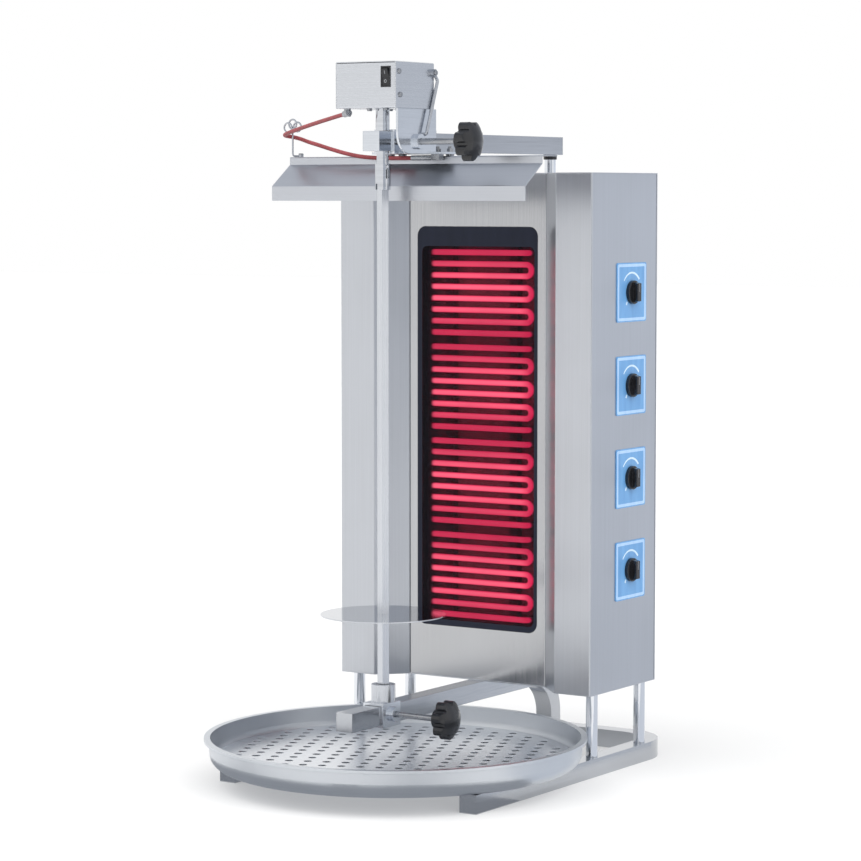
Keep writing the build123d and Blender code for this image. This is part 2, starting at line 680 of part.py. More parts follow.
# Controls
def control_knob():
    """Rotary knob along +Z, with its pointer towards -X."""
    base = Cylinder(KNOB_DIAMETER / 2, KNOB_BASE, align=(Align.CENTER, Align.CENTER, Align.MIN))
    base = fillet(base.edges().group_by(Axis.Z)[-1], KNOB_EDGE)
    half = KNOB_DIAMETER / 2 - KNOB_EDGE
    top = KNOB_GRIP_TOP / 2
    profile = Polygon((-half, 0), (half, 0), (top, KNOB_HEIGHT), (-top, KNOB_HEIGHT), align=None)
    grip = extrude(Plane.XZ * profile, KNOB_GRIP_WIDTH / 2, both=True)
    grip = fillet(grip.edges().group_by(Axis.Z)[-1], KNOB_EDGE)
    knob = base + grip
    mark_z = KNOB_HEIGHT - KNOB_MARK_DEPTH / 2
    knob -= Pos(-top / 2, 0, mark_z) * Box(top, KNOB_MARK_WIDTH, KNOB_MARK_DEPTH)
    bore = Cylinder(
        SPINDLE / 2 + SLIDE_GAP, KNOB_BORE_DEPTH, align=(Align.CENTER, Align.CENTER, Align.MIN)
    )
    return knob - bore


def make_controls():
    """Control plates, knobs, energy regulators and the terminal block."""
    outer = HALF_CABINET + CONTROL_PLATE_THICK
    knob_x = outer + SLIDE_GAP
    inner = HALF_CABINET - SHEET
    knob = control_knob()
    plates = []
    regulators = []
    for i, z in enumerate(CONTROL_HEIGHTS, start=1):
        plane = Plane(origin=(HALF_CABINET, CONTROL_Y, z), x_dir=(0, 1, 0), z_dir=(1, 0, 0))
        face = RectangleRounded(CONTROL_PLATE, CONTROL_PLATE, CONTROL_PLATE_CORNER) - Circle(SPINDLE_HOLE / 2)
        plates.append(extrude(plane * face, CONTROL_PLATE_THICK))
        half_w = REGULATOR_WIDTH / 2
        half_h = REGULATOR_HEIGHT / 2
        body = bar_box(
            inner - REGULATOR_DEPTH, inner, CONTROL_Y - half_w, CONTROL_Y + half_w, z - half_h, z + half_h
        )
        spindle_end = knob_x + KNOB_BORE_DEPTH - SLIDE_GAP
        regulators.append(body + across(inner, spindle_end, CONTROL_Y, z, SPINDLE / 2))
        save(f"control_knob_{i}", Pos(knob_x, CONTROL_Y, z) * Rot(0, 90, 0) * knob)
    save("control_plates", *plates)
    save("energy_regulators", *regulators)
    wide, deep, tall = TERMINAL_SIZE
    x = TERMINAL_X
    y = CABINET_DEPTH - TERMINAL_REAR - deep / 2
    save(
        "terminal_block",
        bar_box(x - wide / 2, x + wide / 2, y - deep / 2, y + deep / 2, WALL_Z, WALL_Z + tall),
    )


# Clamps
def star_knob():
    """Star knob along +Z, its hub at the bottom."""
    lobe_place = STAR_DIAMETER / 2 - STAR_LOBE
    star = Circle(STAR_CORE) + PolarLocations(lobe_place, STAR_LOBES) * Circle(STAR_LOBE)
    body = Pos(0, 0, STAR_HUB_HEIGHT) * extrude(star, STAR_HEIGHT)
    top = STAR_HUB_HEIGHT + STAR_HEIGHT
    body &= Pos(0, 0, top - STAR_DOME) * Sphere(STAR_DOME)
    hub = Cylinder(STAR_HUB / 2, STAR_HUB_HEIGHT, align=(Align.CENTER, Align.CENTER, Align.MIN))
    bore = Cylinder(CLAMP_SCREW / 2, STAR_BORE_DEPTH, align=(Align.CENTER, Align.CENTER, Align.MIN))
    return body + hub - bore


def make_clamp(name, boss_face, standoff, y, z):
    """Clamp screw and star knob. The screw tip stops just short of the tube that it clamps."""
    hub = boss_face + standoff
    tip = HALF_TUBE + SLIDE_GAP
    screw = across(tip, hub + STAR_BORE_DEPTH, y, z, CLAMP_SCREW / 2)
    collar = across(hub - CLAMP_COLLAR_HEIGHT, hub, y, z, CLAMP_COLLAR / 2)
    save(f"{name}_screw", screw + collar)
    save(f"{name}_knob", Pos(hub, y, z) * Rot(0, 90, 0) * star_knob())


# Motor saddle and what it carries
def make_saddle():
    """Saddle that slides on the upper bar and carries the motor box and the hood."""
    cheek_face = Polygon(
        (CHEEK_FRONT_Y, SADDLE_LOW),
        (CHEEK_REAR_Y, SADDLE_LOW),
        (CHEEK_REAR_Y, BOX_Z),
        (CHEEK_FRONT_Y, BOX_Z),
        align=None,
    )
    corner = cheek_face.vertices().sort_by_distance((CHEEK_FRONT_Y, SADDLE_LOW, 0))[0]
    plane = Plane(origin=(CHEEK_INNER, 0, 0), x_dir=(0, 1, 0), z_dir=(1, 0, 0))
    saddle = extrude(plane * fillet(corner, CHEEK_CORNER), SADDLE_PLATE)

    half_flange = FLANGE_WIDTH / 2
    toe_x, toe_y = FLANGE_TOE
    flange = Polygon(
        (HALF_GUIDE, BLOCK_REAR_Y + FLANGE_BACK),
        (toe_x, toe_y),
        (CHEEK_OUTER, toe_y),
        (CHEEK_OUTER, CHEEK_REAR_Y),
        (half_flange, CHEEK_REAR_Y),
        (half_flange, GUIDE_REAR_Y),
        (-half_flange, GUIDE_REAR_Y),
        (-half_flange, CHEEK_REAR_Y),
        (-HALF_GUIDE, CHEEK_REAR_Y),
        align=None,
    )
    saddle += Pos(0, 0, SADDLE_LOW) * extrude(flange, SADDLE_PLATE)
    low = BAR_MID - HALF_SLEEVE
    high = BAR_MID + HALF_SLEEVE
    saddle += bar_box(-HALF_SLEEVE, HALF_SLEEVE, BLOCK_REAR_Y, GUIDE_REAR_Y, low, high)
    saddle += bar_box(
        CHEEK_OUTER - SHELF_WIDTH, CHEEK_OUTER, SHELF_FRONT_Y, CHEEK_REAR_Y, SHELF_Z, BOX_Z
    )
    boss_face = CHEEK_OUTER + CLAMP_BOSS_HEIGHT
    saddle += across(CHEEK_OUTER, boss_face, UPPER_CLAMP_Y, BAR_MID, CLAMP_BOSS / 2)
    saddle -= bar_box(
        -HALF_GUIDE,
        HALF_GUIDE,
        BLOCK_REAR_Y,
        GUIDE_REAR_Y,
        BAR_MID - HALF_GUIDE,
        BAR_MID + HALF_GUIDE,
    )
    saddle -= across(HALF_GUIDE, boss_face, UPPER_CLAMP_Y, BAR_MID, CLAMP_SCREW / 2 + SLIDE_GAP)
    saddle -= spit_round(SHAFT_DIAMETER / 2 + SHAFT_HOLE_GAP, low, high)
    bolts = hood_bolts()
    shelf = shelf_bolts()
    save("motor_saddle", saddle - bolts - shelf)
    save("carriage_fasteners", *bolts, *shelf, *box_screws(), *motor_screws(), hook_screw())
    make_clamp("upper_clamp", boss_face, UPPER_STANDOFF, UPPER_CLAMP_Y, BAR_MID)

    block_right = BLOCK_WIDTH / 2
    block = bar_box(-block_right, block_right, BLOCK_FRONT_Y, BLOCK_REAR_Y, BAR_Z, BLOCK_TOP)
    block += bar_box(
        -HALF_GUIDE,
        HALF_GUIDE,
        BLOCK_REAR_Y,
        NECK_REAR_Y,
        BAR_MID - HALF_GUIDE,
        BAR_MID + HALF_GUIDE,
    )
    bush_inner = JOURNAL_DIAMETER / 2 + SLIDE_GAP
    seat = spit_round(bush_inner + BUSH_WALL, BAR_Z, BLOCK_TOP)
    save("bearing_block", block - spit_round(bush_inner + BUSH_WALL, low, BLOCK_TOP))
    save("bearing_bush", seat - spit_round(bush_inner, BAR_Z, BLOCK_TOP))


def hood_bolts():
    """Bolts with nuts and washers that hang the hood under the saddle flange."""
    bolts = []
    flange_top = SADDLE_LOW + SADDLE_PLATE
    hood_low = HOOD_TOP - THIN_SHEET
    for x in HOOD_BOLT_X:
        bolt = upright(x, HOOD_BOLT_Y, hood_low, flange_top + HEX_HEIGHT + BOLT_END, HOOD_BOLT / 2)
        bolt += hexagon(x, HOOD_BOLT_Y, hood_low - HEX_HEIGHT, hood_low)
        bolt += hexagon(x, HOOD_BOLT_Y, flange_top, flange_top + HEX_HEIGHT)
        bolt += upright(x, HOOD_BOLT_Y, HOOD_TOP, SADDLE_LOW, WASHER / 2)
        bolts.append(bolt)
    return bolts


def shelf_bolts():
    """Bolts that hold the motor box on the saddle shelf."""
    bolts = []
    for x, y in SHELF_BOLTS:
        bolt = upright(x, y, SHELF_Z, BOX_Z + THIN_SHEET, HOOD_BOLT / 2)
        bolts.append(bolt + hexagon(x, y, SHELF_Z - HEX_HEIGHT, SHELF_Z))
    return bolts


def box_screws():
    """Pan head screws in the two sides of the motor box. The last one holds the eye of the brace rod."""
    screws = []
    half = BOX_WIDTH / 2
    for side in (-1, 1):
        for back, rise in BOX_SCREWS:
            screws.append(pan_head((side * half, BOX_FRONT_Y + back, BOX_Z + rise), (side, 0, 0)))
    back, rise = BRACE_SCREW
    screws.append(pan_head((-half, BOX_FRONT_Y + back, BOX_Z + rise), (-1, 0, 0)))
    eye_face = half + BRACE_EYE_THICK
    brace_screw = pan_head((eye_face, BOX_FRONT_Y + back, BOX_Z + rise), (1, 0, 0))
    shank = across(half - SCREW_REACH, half, BOX_FRONT_Y + back, BOX_Z + rise, SCREW_SHANK / 2)
    screws.append(brace_screw + shank)
    return screws


def motor_screws():
    """Screws that hold the gear motor, their heads under the motor box."""
    return [pan_head((x, y, BOX_Z), (0, 0, -1)) for x, y in MOTOR_SCREWS]


def hook_place():
    """Point of the hood where the foot of the cable hook is screwed down."""
    return HOOK_X + HOOK_FOOT[0], HOOK_Y + HOOK_FOOT[1]


def hook_screw():
    """Screw of the cable hook."""
    x, y = hook_place()
    return pan_head((x, y, HOOD_TOP + HOOK_PAD), (0, 0, 1))


def make_motor_box():
    """Two-part motor box, gear motor, switch and rocker."""
    half = BOX_WIDTH / 2
    top = BOX_Z + BOX_HEIGHT
    cover_line = [(-half, BOX_Z), (-half, top), (half, top), (half, BOX_Z)]
    plane = Plane(origin=(0, BOX_REAR_Y, 0), x_dir=(1, 0, 0), z_dir=(0, -1, 0))
    cover = extrude(plane * folded(cover_line, THIN_SHEET), BOX_REAR_Y - BOX_FRONT_Y)
    screws = box_screws()
    save("motor_box_cover", cover - screws)

    wall_top = top - THIN_SHEET - FOLD
    base_line = [
        (BOX_FRONT_Y, wall_top),
        (BOX_FRONT_Y, BOX_Z),
        (BOX_REAR_Y, BOX_Z),
        (BOX_REAR_Y, wall_top),
    ]
    inside = half - THIN_SHEET
    plane = Plane(origin=(-inside, 0, 0), x_dir=(0, 1, 0), z_dir=(1, 0, 0))
    base = extrude(plane * folded(base_line, -THIN_SHEET), 2 * inside)
    base -= spit_round(SHAFT_DIAMETER / 2 + SHAFT_HOLE_GAP, BOX_Z - THIN_SHEET, BOX_Z + 2 * THIN_SHEET)
    half_w = SWITCH_WIDTH / 2 - SWITCH_WALL
    half_h = SWITCH_HEIGHT / 2 - SWITCH_WALL
    switch_body = bar_box(
        SWITCH_X - half_w,
        SWITCH_X + half_w,
        BOX_FRONT_Y,
        BOX_FRONT_Y + SWITCH_DEPTH,
        SWITCH_Z - half_h,
        SWITCH_Z + half_h,
    )
    save("motor_box_base", base - switch_body - shelf_bolts() - motor_screws())

    wide, deep, tall = MOTOR_SIZE
    motor_z = BOX_Z + MOTOR_LIFT
    middle = (BOX_FRONT_Y + BOX_REAR_Y) / 2
    motor = bar_box(-wide / 2, wide / 2, middle - deep / 2, middle + deep / 2, motor_z, motor_z + tall)
    motor -= spit_round(SHAFT_TENON / 2 + SLIDE_GAP, motor_z, motor_z + SHAFT_TENON_LENGTH + SLIDE_GAP)
    feet = [upright(x, y, BOX_Z + THIN_SHEET, motor_z, MOTOR_FOOT / 2) for x, y in MOTOR_SCREWS]
    save("gear_motor", motor + feet - switch_body - motor_screws())

    half_flange_w = SWITCH_WIDTH / 2
    half_flange_h = SWITCH_HEIGHT / 2
    bezel = switch_body + bar_box(
        SWITCH_X - half_flange_w,
        SWITCH_X + half_flange_w,
        BOX_FRONT_Y - SWITCH_FLANGE,
        BOX_FRONT_Y,
        SWITCH_Z - half_flange_h,
        SWITCH_Z + half_flange_h,
    )
    well_w = ROCKER_WIDTH / 2 + SLIDE_GAP
    well_h = ROCKER_HALF + 2 * SLIDE_GAP
    bezel -= bar_box(
        SWITCH_X - well_w,
        SWITCH_X + well_w,
        BOX_FRONT_Y - SWITCH_FLANGE,
        BOX_FRONT_Y + SWITCH_DEPTH - SWITCH_WALL,
        SWITCH_Z - well_h,
        SWITCH_Z + well_h,
    )
    bezel -= across(SWITCH_X - half_w, SWITCH_X + half_w, ROCKER_Y, SWITCH_Z, ROCKER_AXLE / 2 + SLIDE_GAP)
    save("switch_bezel", bezel)

    rise = ROCKER_HALF * tan(radians(ROCKER_TILT))
    face = [
        (ROCKER_BACK, -ROCKER_HALF / 2),
        (ROCKER_BACK / 2, -ROCKER_HALF),
        (-SWITCH_WALL - rise, -ROCKER_HALF),
        (-SWITCH_WALL, 0),
        (-SWITCH_WALL - rise, ROCKER_HALF),
        (ROCKER_BACK / 2, ROCKER_HALF),
        (ROCKER_BACK, ROCKER_HALF / 2),
    ]
    rocker = extrude(Plane.YZ * Polygon(*face, align=None), ROCKER_WIDTH / 2, both=True)
    rocker += Rot(0, 90, 0) * Cylinder(ROCKER_AXLE / 2, 2 * half_w)
    save("rocker_switch", Pos(SWITCH_X, ROCKER_Y, SWITCH_Z) * Rot(ROCKER_TILT, 0, 0) * rocker)


def make_hood():
    """Folded hood over the heater."""
    low = HOOD_TOP - HOOD_UPSTAND - HOOD_SLOPE_RISE - HOOD_LIP_HEIGHT
    line = [
        (HOOD_LIP_Y, low),
        (HOOD_LIP_Y, low + HOOD_LIP_HEIGHT),
        (HOOD_BACK_Y, HOOD_TOP - HOOD_UPSTAND),
        (HOOD_BACK_Y, HOOD_TOP),
        (HOOD_BACK_Y + HOOD_FLANGE, HOOD_TOP),
    ]
    plane = Plane(origin=(-HOOD_WIDTH / 2, 0, 0), x_dir=(0, 1, 0), z_dir=(1, 0, 0))
    hood = extrude(plane * folded(line, THIN_SHEET), HOOD_WIDTH)
    save("hood", hood - hood_bolts() - hook_screw())


def make_brace_and_hook():
    """Brace rod beside the motor box and the wire hook that holds the cable."""
    back, rise = BRACE_SCREW
    box_face = BOX_WIDTH / 2
    rod_x = box_face + BRACE_EYE_THICK / 2
    eye_y = BOX_FRONT_Y + back
    eye_z = BOX_Z + rise
    foot_y, foot_z = BRACE_FOOT
    line = FilletPolyline(
        (rod_x, eye_y, eye_z),
        (rod_x, *BRACE_KINK),
        (rod_x, foot_y, foot_z),
        (CHEEK_OUTER, foot_y, foot_z),
        radius=[BRACE_BEND, BRACE_TURN],
    )
    brace = sweep(Plane(origin=line @ 0, z_dir=line % 0) * Circle(BRACE_DIAMETER / 2), line)
    eye = across(box_face, box_face + BRACE_EYE_THICK, eye_y, eye_z, BRACE_EYE / 2)
    save("brace_rod", brace + eye - box_screws())

    wire = HOOK_WIRE / 2
    foot_x, foot_y = hook_place()
    base = HOOD_TOP + HOOK_PAD / 2
    stem_top = HOOD_TOP + HOOK_HEIGHT
    line = FilletPolyline(
        (foot_x, foot_y, base), (HOOK_X, HOOK_Y, base), (HOOK_X, HOOK_Y, stem_top), radius=HOOK_BEND
    )
    hook = sweep(Plane(origin=line @ 0, z_dir=line % 0) * Circle(wire), line)
    hook += upright(foot_x, foot_y, HOOD_TOP, HOOD_TOP + HOOK_PAD, SCREW_HEAD / 2)
    for shift, back, lift in HOOK_RINGS:
        offset = Pos(HOOK_RING * shift, HOOK_RING * back, HOOK_RING * lift)
        hook += Pos(HOOK_X, HOOK_Y, stem_top) * offset * Rot(90, 0, 0) * Torus(HOOK_RING, wire)
    save("cable_hook", hook - hook_screw())


# Motor cable
def cable_radii(points):
    """Radius of the arc at each inner point: 0.45 of the shorter run over the tangent of half the turn."""
    radii = []
    for before, here, after in zip(points, points[1:], points[2:]):
        run_in = Vector(*here) - Vector(*before)
        run_out = Vector(*after) - Vector(*here)
        turn = radians(run_in.get_angle(run_out))
        radii.append(0.45 * min(run_in.length, run_out.length) / tan(turn / 2))
    return radii


def make_cable():
    """Cable along its route, the gland under the motor box and the ferrule under the saddle."""
    radii = cable_radii(CABLE_ROUTE)
    path = FilletPolyline(*CABLE_ROUTE, radius=radii)
    cable = sweep(Plane(origin=path @ 0, z_dir=path % 0) * Circle(CABLE_DIAMETER / 2), path)
    section = pi * CABLE_DIAMETER ** 2 / 4
    print("cable radii:", [round(r, 1) for r in radii])
    print(f"cable length {path.length:.1f}")
    print(f"cable volume {cable.volume:.1f}, section times length {section * path.length:.1f}")
    save("motor_cable", cable)

    start = Vector(*CABLE_ROUTE[0])
    leave = (Vector(*CABLE_ROUTE[1]) - start).normalized()
    nozzle = rod(tuple(start), tuple(-leave), GLAND_NOZZLE / 2, GLAND_NOZZLE_LENGTH)
    root = start - leave * (GLAND_NOZZLE_LENGTH - GLAND_NOZZLE / 2)
    gland = nozzle + upright(root.X, root.Y, root.Z - GLAND_NOZZLE / 2, BOX_Z, GLAND_NOZZLE / 2)

    end = Vector(*CABLE_ROUTE[-1])
    arrive = (end - Vector(*CABLE_ROUTE[-2])).normalized()
    ferrule = rod(tuple(end), tuple(arrive), FERRULE_DIAMETER / 2, FERRULE_LENGTH)
    tip = end + arrive * FERRULE_LENGTH
    half_w = ANCHOR_SIZE[0] / 2
    half_d = ANCHOR_SIZE[1] / 2
    low = tip.Z - half_w / 2
    anchor = bar_box(tip.X - half_w, tip.X + half_w, tip.Y - half_d, tip.Y + half_d, low, SADDLE_LOW)
    save("cable_glands", gland, ferrule + anchor)


# Spit
def make_spit():
    """Output shaft, skewer, pins, coupling sleeve and meat disc."""
    shoulder = BLOCK_TOP + SLIDE_GAP
    motor_z = BOX_Z + MOTOR_LIFT
    shaft = spit_round(JOURNAL_DIAMETER / 2, JOURNAL_END_Z, shoulder)
    shaft += spit_round(SHAFT_DIAMETER / 2, shoulder, motor_z - SLIDE_GAP)
    shaft += spit_round(SHAFT_TENON / 2, motor_z - SLIDE_GAP, motor_z + SHAFT_TENON_LENGTH)
    drive_z = SLEEVE_HIGH_Z - DRIVE_PIN_DROP
    drive_pin = cross_pin(DRIVE_PIN, SLEEVE_DIAMETER, drive_z)
    save("output_shaft", shaft - drive_pin)

    square_z = CUP_BUSH_TOP + SLIDE_GAP
    skewer = spit_square(SKEWER_SIDE, square_z, SKEWER_TOP)
    skewer += spit_round(SKEWER_TIP / 2, CARRIAGE_TOP + CUP_FLOOR + SLIDE_GAP, square_z)
    disc_pin = cross_pin(DISC_PIN, DISC_PIN_LENGTH, DISC_Z - SLIDE_GAP - DISC_PIN / 2)
    save("skewer", skewer - disc_pin)
    save("spit_pins", drive_pin, disc_pin)

    sleeve = spit_round(SLEEVE_DIAMETER / 2, SLEEVE_LOW_Z, SLEEVE_HIGH_Z)
    socket = SKEWER_SIDE + 2 * SLIDE_GAP
    step = SLEEVE_LOW_Z + SLEEVE_SQUARE
    sleeve -= spit_square(socket, SLEEVE_LOW_Z, step)
    sleeve -= spit_round(JOURNAL_DIAMETER / 2 + SLIDE_GAP, step, SLEEVE_HIGH_Z)
    slot_low = drive_z - DRIVE_PIN / 2 - SLEEVE_TRAVEL - SLIDE_GAP
    slot_width = DRIVE_PIN + 2 * SLIDE_GAP
    slot = Box(2 * SLEEVE_DIAMETER, slot_width, SLEEVE_HIGH_Z - slot_low)
    sleeve -= Pos(0, SPIT_Y, (slot_low + SLEEVE_HIGH_Z) / 2) * Rot(0, 0, SPIT_YAW) * slot
    window_w, window_h = SLEEVE_WINDOW
    window = Pos(0, -SLEEVE_DIAMETER / 2, 0) * Box(window_w, SLEEVE_DIAMETER, window_h)
    sleeve -= Pos(0, SPIT_Y, SLEEVE_LOW_Z + window_h / 2) * Rot(0, 0, SPIT_YAW) * window
    save("coupling_sleeve", sleeve)

    disc = spit_round(DISC_RADIUS, DISC_Z, DISC_Z + DISC_THICK)
    save("meat_disc", disc - spit_square(socket, DISC_Z, DISC_Z + DISC_THICK))


def make_lower_carriage():
    """Sleeve on the lower arm with the cup and bush that carry the skewer, and its clamp."""
    front = SPIT_Y - CARRIAGE_FRONT
    rear = SPIT_Y + CARRIAGE_REAR
    half = CARRIAGE_HALF
    half_in = HALF_GUIDE
    carriage = bar_box(-half, half, front, rear, ARM_Z - half, ARM_Z + half)
    carriage -= bar_box(-half_in, half_in, front, rear, ARM_Z - half_in, ARM_Z + half_in)
    boss_face = half + CLAMP_BOSS_HEIGHT
    carriage += across(half, boss_face, SPIT_Y, ARM_Z, CLAMP_BOSS / 2)
    carriage -= across(half_in, boss_face, SPIT_Y, ARM_Z, CLAMP_SCREW / 2 + SLIDE_GAP)
    save("lower_carriage", carriage)
    make_clamp("lower_clamp", boss_face, LOWER_STANDOFF, SPIT_Y, ARM_Z)

    cup_top = CARRIAGE_TOP + CUP_HEIGHT
    bush_z = CARRIAGE_TOP + CUP_FLOOR
    cup = spit_round(CUP_DIAMETER / 2, CARRIAGE_TOP, cup_top)
    cup -= spit_round(CUP_MOUTH / 2, CUP_BUSH_TOP, cup_top)
    seat = spit_round(CUP_BUSH / 2, bush_z, CUP_BUSH_TOP)
    save("spit_cup", cup - seat)
    save("cup_bush", seat - spit_round(SKEWER_TIP / 2 + SLIDE_GAP, bush_z, CUP_BUSH_TOP))


# Drip tray
def make_tray():
    """Round tray on the base rails and the perforated plate in it."""
    wall = TRAY_RADIUS - TRAY_RIM
    t = THIN_SHEET
    low = TRAY_Z
    top = TRAY_Z + TRAY_HEIGHT
    knee = wall - TRAY_CORNER
    bend = low + TRAY_CORNER
    inner = TRAY_CORNER - t
    lip = top - TRAY_LIP
    arc = cos(pi / 4)
    outline = [
        Line((0, low), (knee, low)),
        ThreePointArc(
            (knee, low), (knee + TRAY_CORNER * arc, bend - TRAY_CORNER * arc), (wall, bend)
        ),
        Line((wall, bend), (wall, top - t)),
        Line((wall, top - t), (TRAY_RADIUS - t, top - t)),
        Line((TRAY_RADIUS - t, top - t), (TRAY_RADIUS - t, lip)),
        Line((TRAY_RADIUS - t, lip), (TRAY_RADIUS, lip)),
        Line((TRAY_RADIUS, lip), (TRAY_RADIUS, top)),
        Line((TRAY_RADIUS, top), (wall - t, top)),
        Line((wall - t, top), (wall - t, bend)),
        ThreePointArc((wall - t, bend), (knee + inner * arc, bend - inner * arc), (knee, low + t)),
        Line((knee, low + t), (0, low + t)),
        Line((0, low + t), (0, low)),
    ]
    profile = Plane.XZ * make_face(outline)
    save("drip_tray", Pos(0, TRAY_Y, 0) * revolve(profile, Axis.Z))

    limit = DRIP_RADIUS - DRIP_MARGIN
    count = int(2 * limit / DRIP_PITCH) + 2
    shift = (count - 1) / 2 * DRIP_PITCH
    turn = radians(DRIP_TURN)
    spots = []
    for i in range(count):
        for j in range(count):
            u = i * DRIP_PITCH - shift
            v = j * DRIP_PITCH - shift
            if hypot(u, v) < limit:
                spots.append((u * cos(turn) - v * sin(turn), u * sin(turn) + v * cos(turn)))
    print("drip plate holes:", len(spots))
    plate = extrude(Circle(DRIP_RADIUS) - Locations(*spots) * Circle(DRIP_HOLE / 2), THIN_SHEET)
    leg = Cylinder(DRIP_FOOT / 2, DRIP_RISE - SLIDE_GAP, align=(Align.CENTER, Align.CENTER, Align.MAX))
    feet = PolarLocations(DRIP_FOOT_RADIUS, DRIP_FEET) * leg
    save("drip_plate", Pos(0, TRAY_Y, DRIP_Z) * (plate + feet))


make_base()
make_bar()
make_cabinet()
make_heater()
make_controls()
make_saddle()
make_motor_box()
make_hood()
make_brace_and_hook()
make_cable()
make_spit()
make_lower_carriage()
make_tray()

for name, solids in pieces.items():
    bodies = [body for shape in solids for body in shape.solids()]
    export_step(bodies[0] if len(bodies) == 1 else Compound(bodies), f"parts/{name}.step")
print(len(pieces), "nodes")
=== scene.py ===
import logging
import math
from dataclasses import dataclass
from enum import Enum
from typing import Any, Sequence

import bmesh
import bpy
from mathutils import Matrix, Vector


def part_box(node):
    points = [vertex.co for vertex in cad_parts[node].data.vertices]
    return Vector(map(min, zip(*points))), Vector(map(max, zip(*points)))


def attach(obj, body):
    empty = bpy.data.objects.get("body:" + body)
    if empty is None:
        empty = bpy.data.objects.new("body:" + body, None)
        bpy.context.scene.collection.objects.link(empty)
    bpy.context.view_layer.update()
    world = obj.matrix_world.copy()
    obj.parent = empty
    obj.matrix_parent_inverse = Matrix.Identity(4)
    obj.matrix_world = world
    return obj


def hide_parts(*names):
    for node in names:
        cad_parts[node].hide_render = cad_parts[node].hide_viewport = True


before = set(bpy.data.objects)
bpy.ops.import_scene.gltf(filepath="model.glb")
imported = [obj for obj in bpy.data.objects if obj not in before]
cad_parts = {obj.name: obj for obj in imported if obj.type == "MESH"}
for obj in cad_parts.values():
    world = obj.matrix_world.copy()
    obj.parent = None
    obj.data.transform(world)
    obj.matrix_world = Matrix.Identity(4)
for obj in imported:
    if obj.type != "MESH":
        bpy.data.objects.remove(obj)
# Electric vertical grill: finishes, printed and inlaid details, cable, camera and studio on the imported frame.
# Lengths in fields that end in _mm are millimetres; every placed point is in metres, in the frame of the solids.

LOG = logging.getLogger("grill")
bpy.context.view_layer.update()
MM = 0.001
NOISE_LOW, NOISE_HIGH = 0.3, 0.7  # most values of a noise pattern lie between these
Point2 = tuple[float, float]
Point3 = tuple[float, float, float]


class Grain(Enum):
    """Axes along which a sheet or bar was brushed."""

    ACROSS = (0,)
    DEEP = (1,)
    UPRIGHT = (2,)
    LEVEL = (0, 1)


class Slot(Enum):
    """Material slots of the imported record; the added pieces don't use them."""

    PRINT = "blue_print"
    LIGHT = "light_plastic"
    SILICONE = "red_silicone"
    GLASS = "heater_glass"


def linear(code: str) -> tuple[float, float, float, float]:
    """Turn an sRGB hex colour into linear light.

    Args:
        code: Colour such as "#C8CBD0".

    Returns:
        Linear red, green, blue and an alpha of one.
    """
    parts = [int(code[i:i + 2], 16) / 255 for i in (1, 3, 5)]
    light = [c / 12.92 if c <= 0.04045 else ((c + 0.055) / 1.055) ** 2.4 for c in parts]
    return light[0], light[1], light[2], 1.0


def add_node(
    tree: bpy.types.NodeTree, kind: str, inputs: dict[Any, Any] | None = None, **settings: Any
) -> bpy.types.Node:
    """Add one node with its settings and links.

    Args:
        tree: Node tree that gets the node.
        kind: Blender's name of the node type.
        inputs: Input name or number, with the socket that feeds it or its plain value.
        settings: Attributes of the node itself.

    Returns:
        The new node.
    """
    node = tree.nodes.new(kind)
    for name, value in settings.items():
        setattr(node, name, value)
    for key, value in (inputs or {}).items():
        if isinstance(value, bpy.types.NodeSocket):
            tree.links.new(value, node.inputs[key])
        else:
            node.inputs[key].default_value = value
    return node


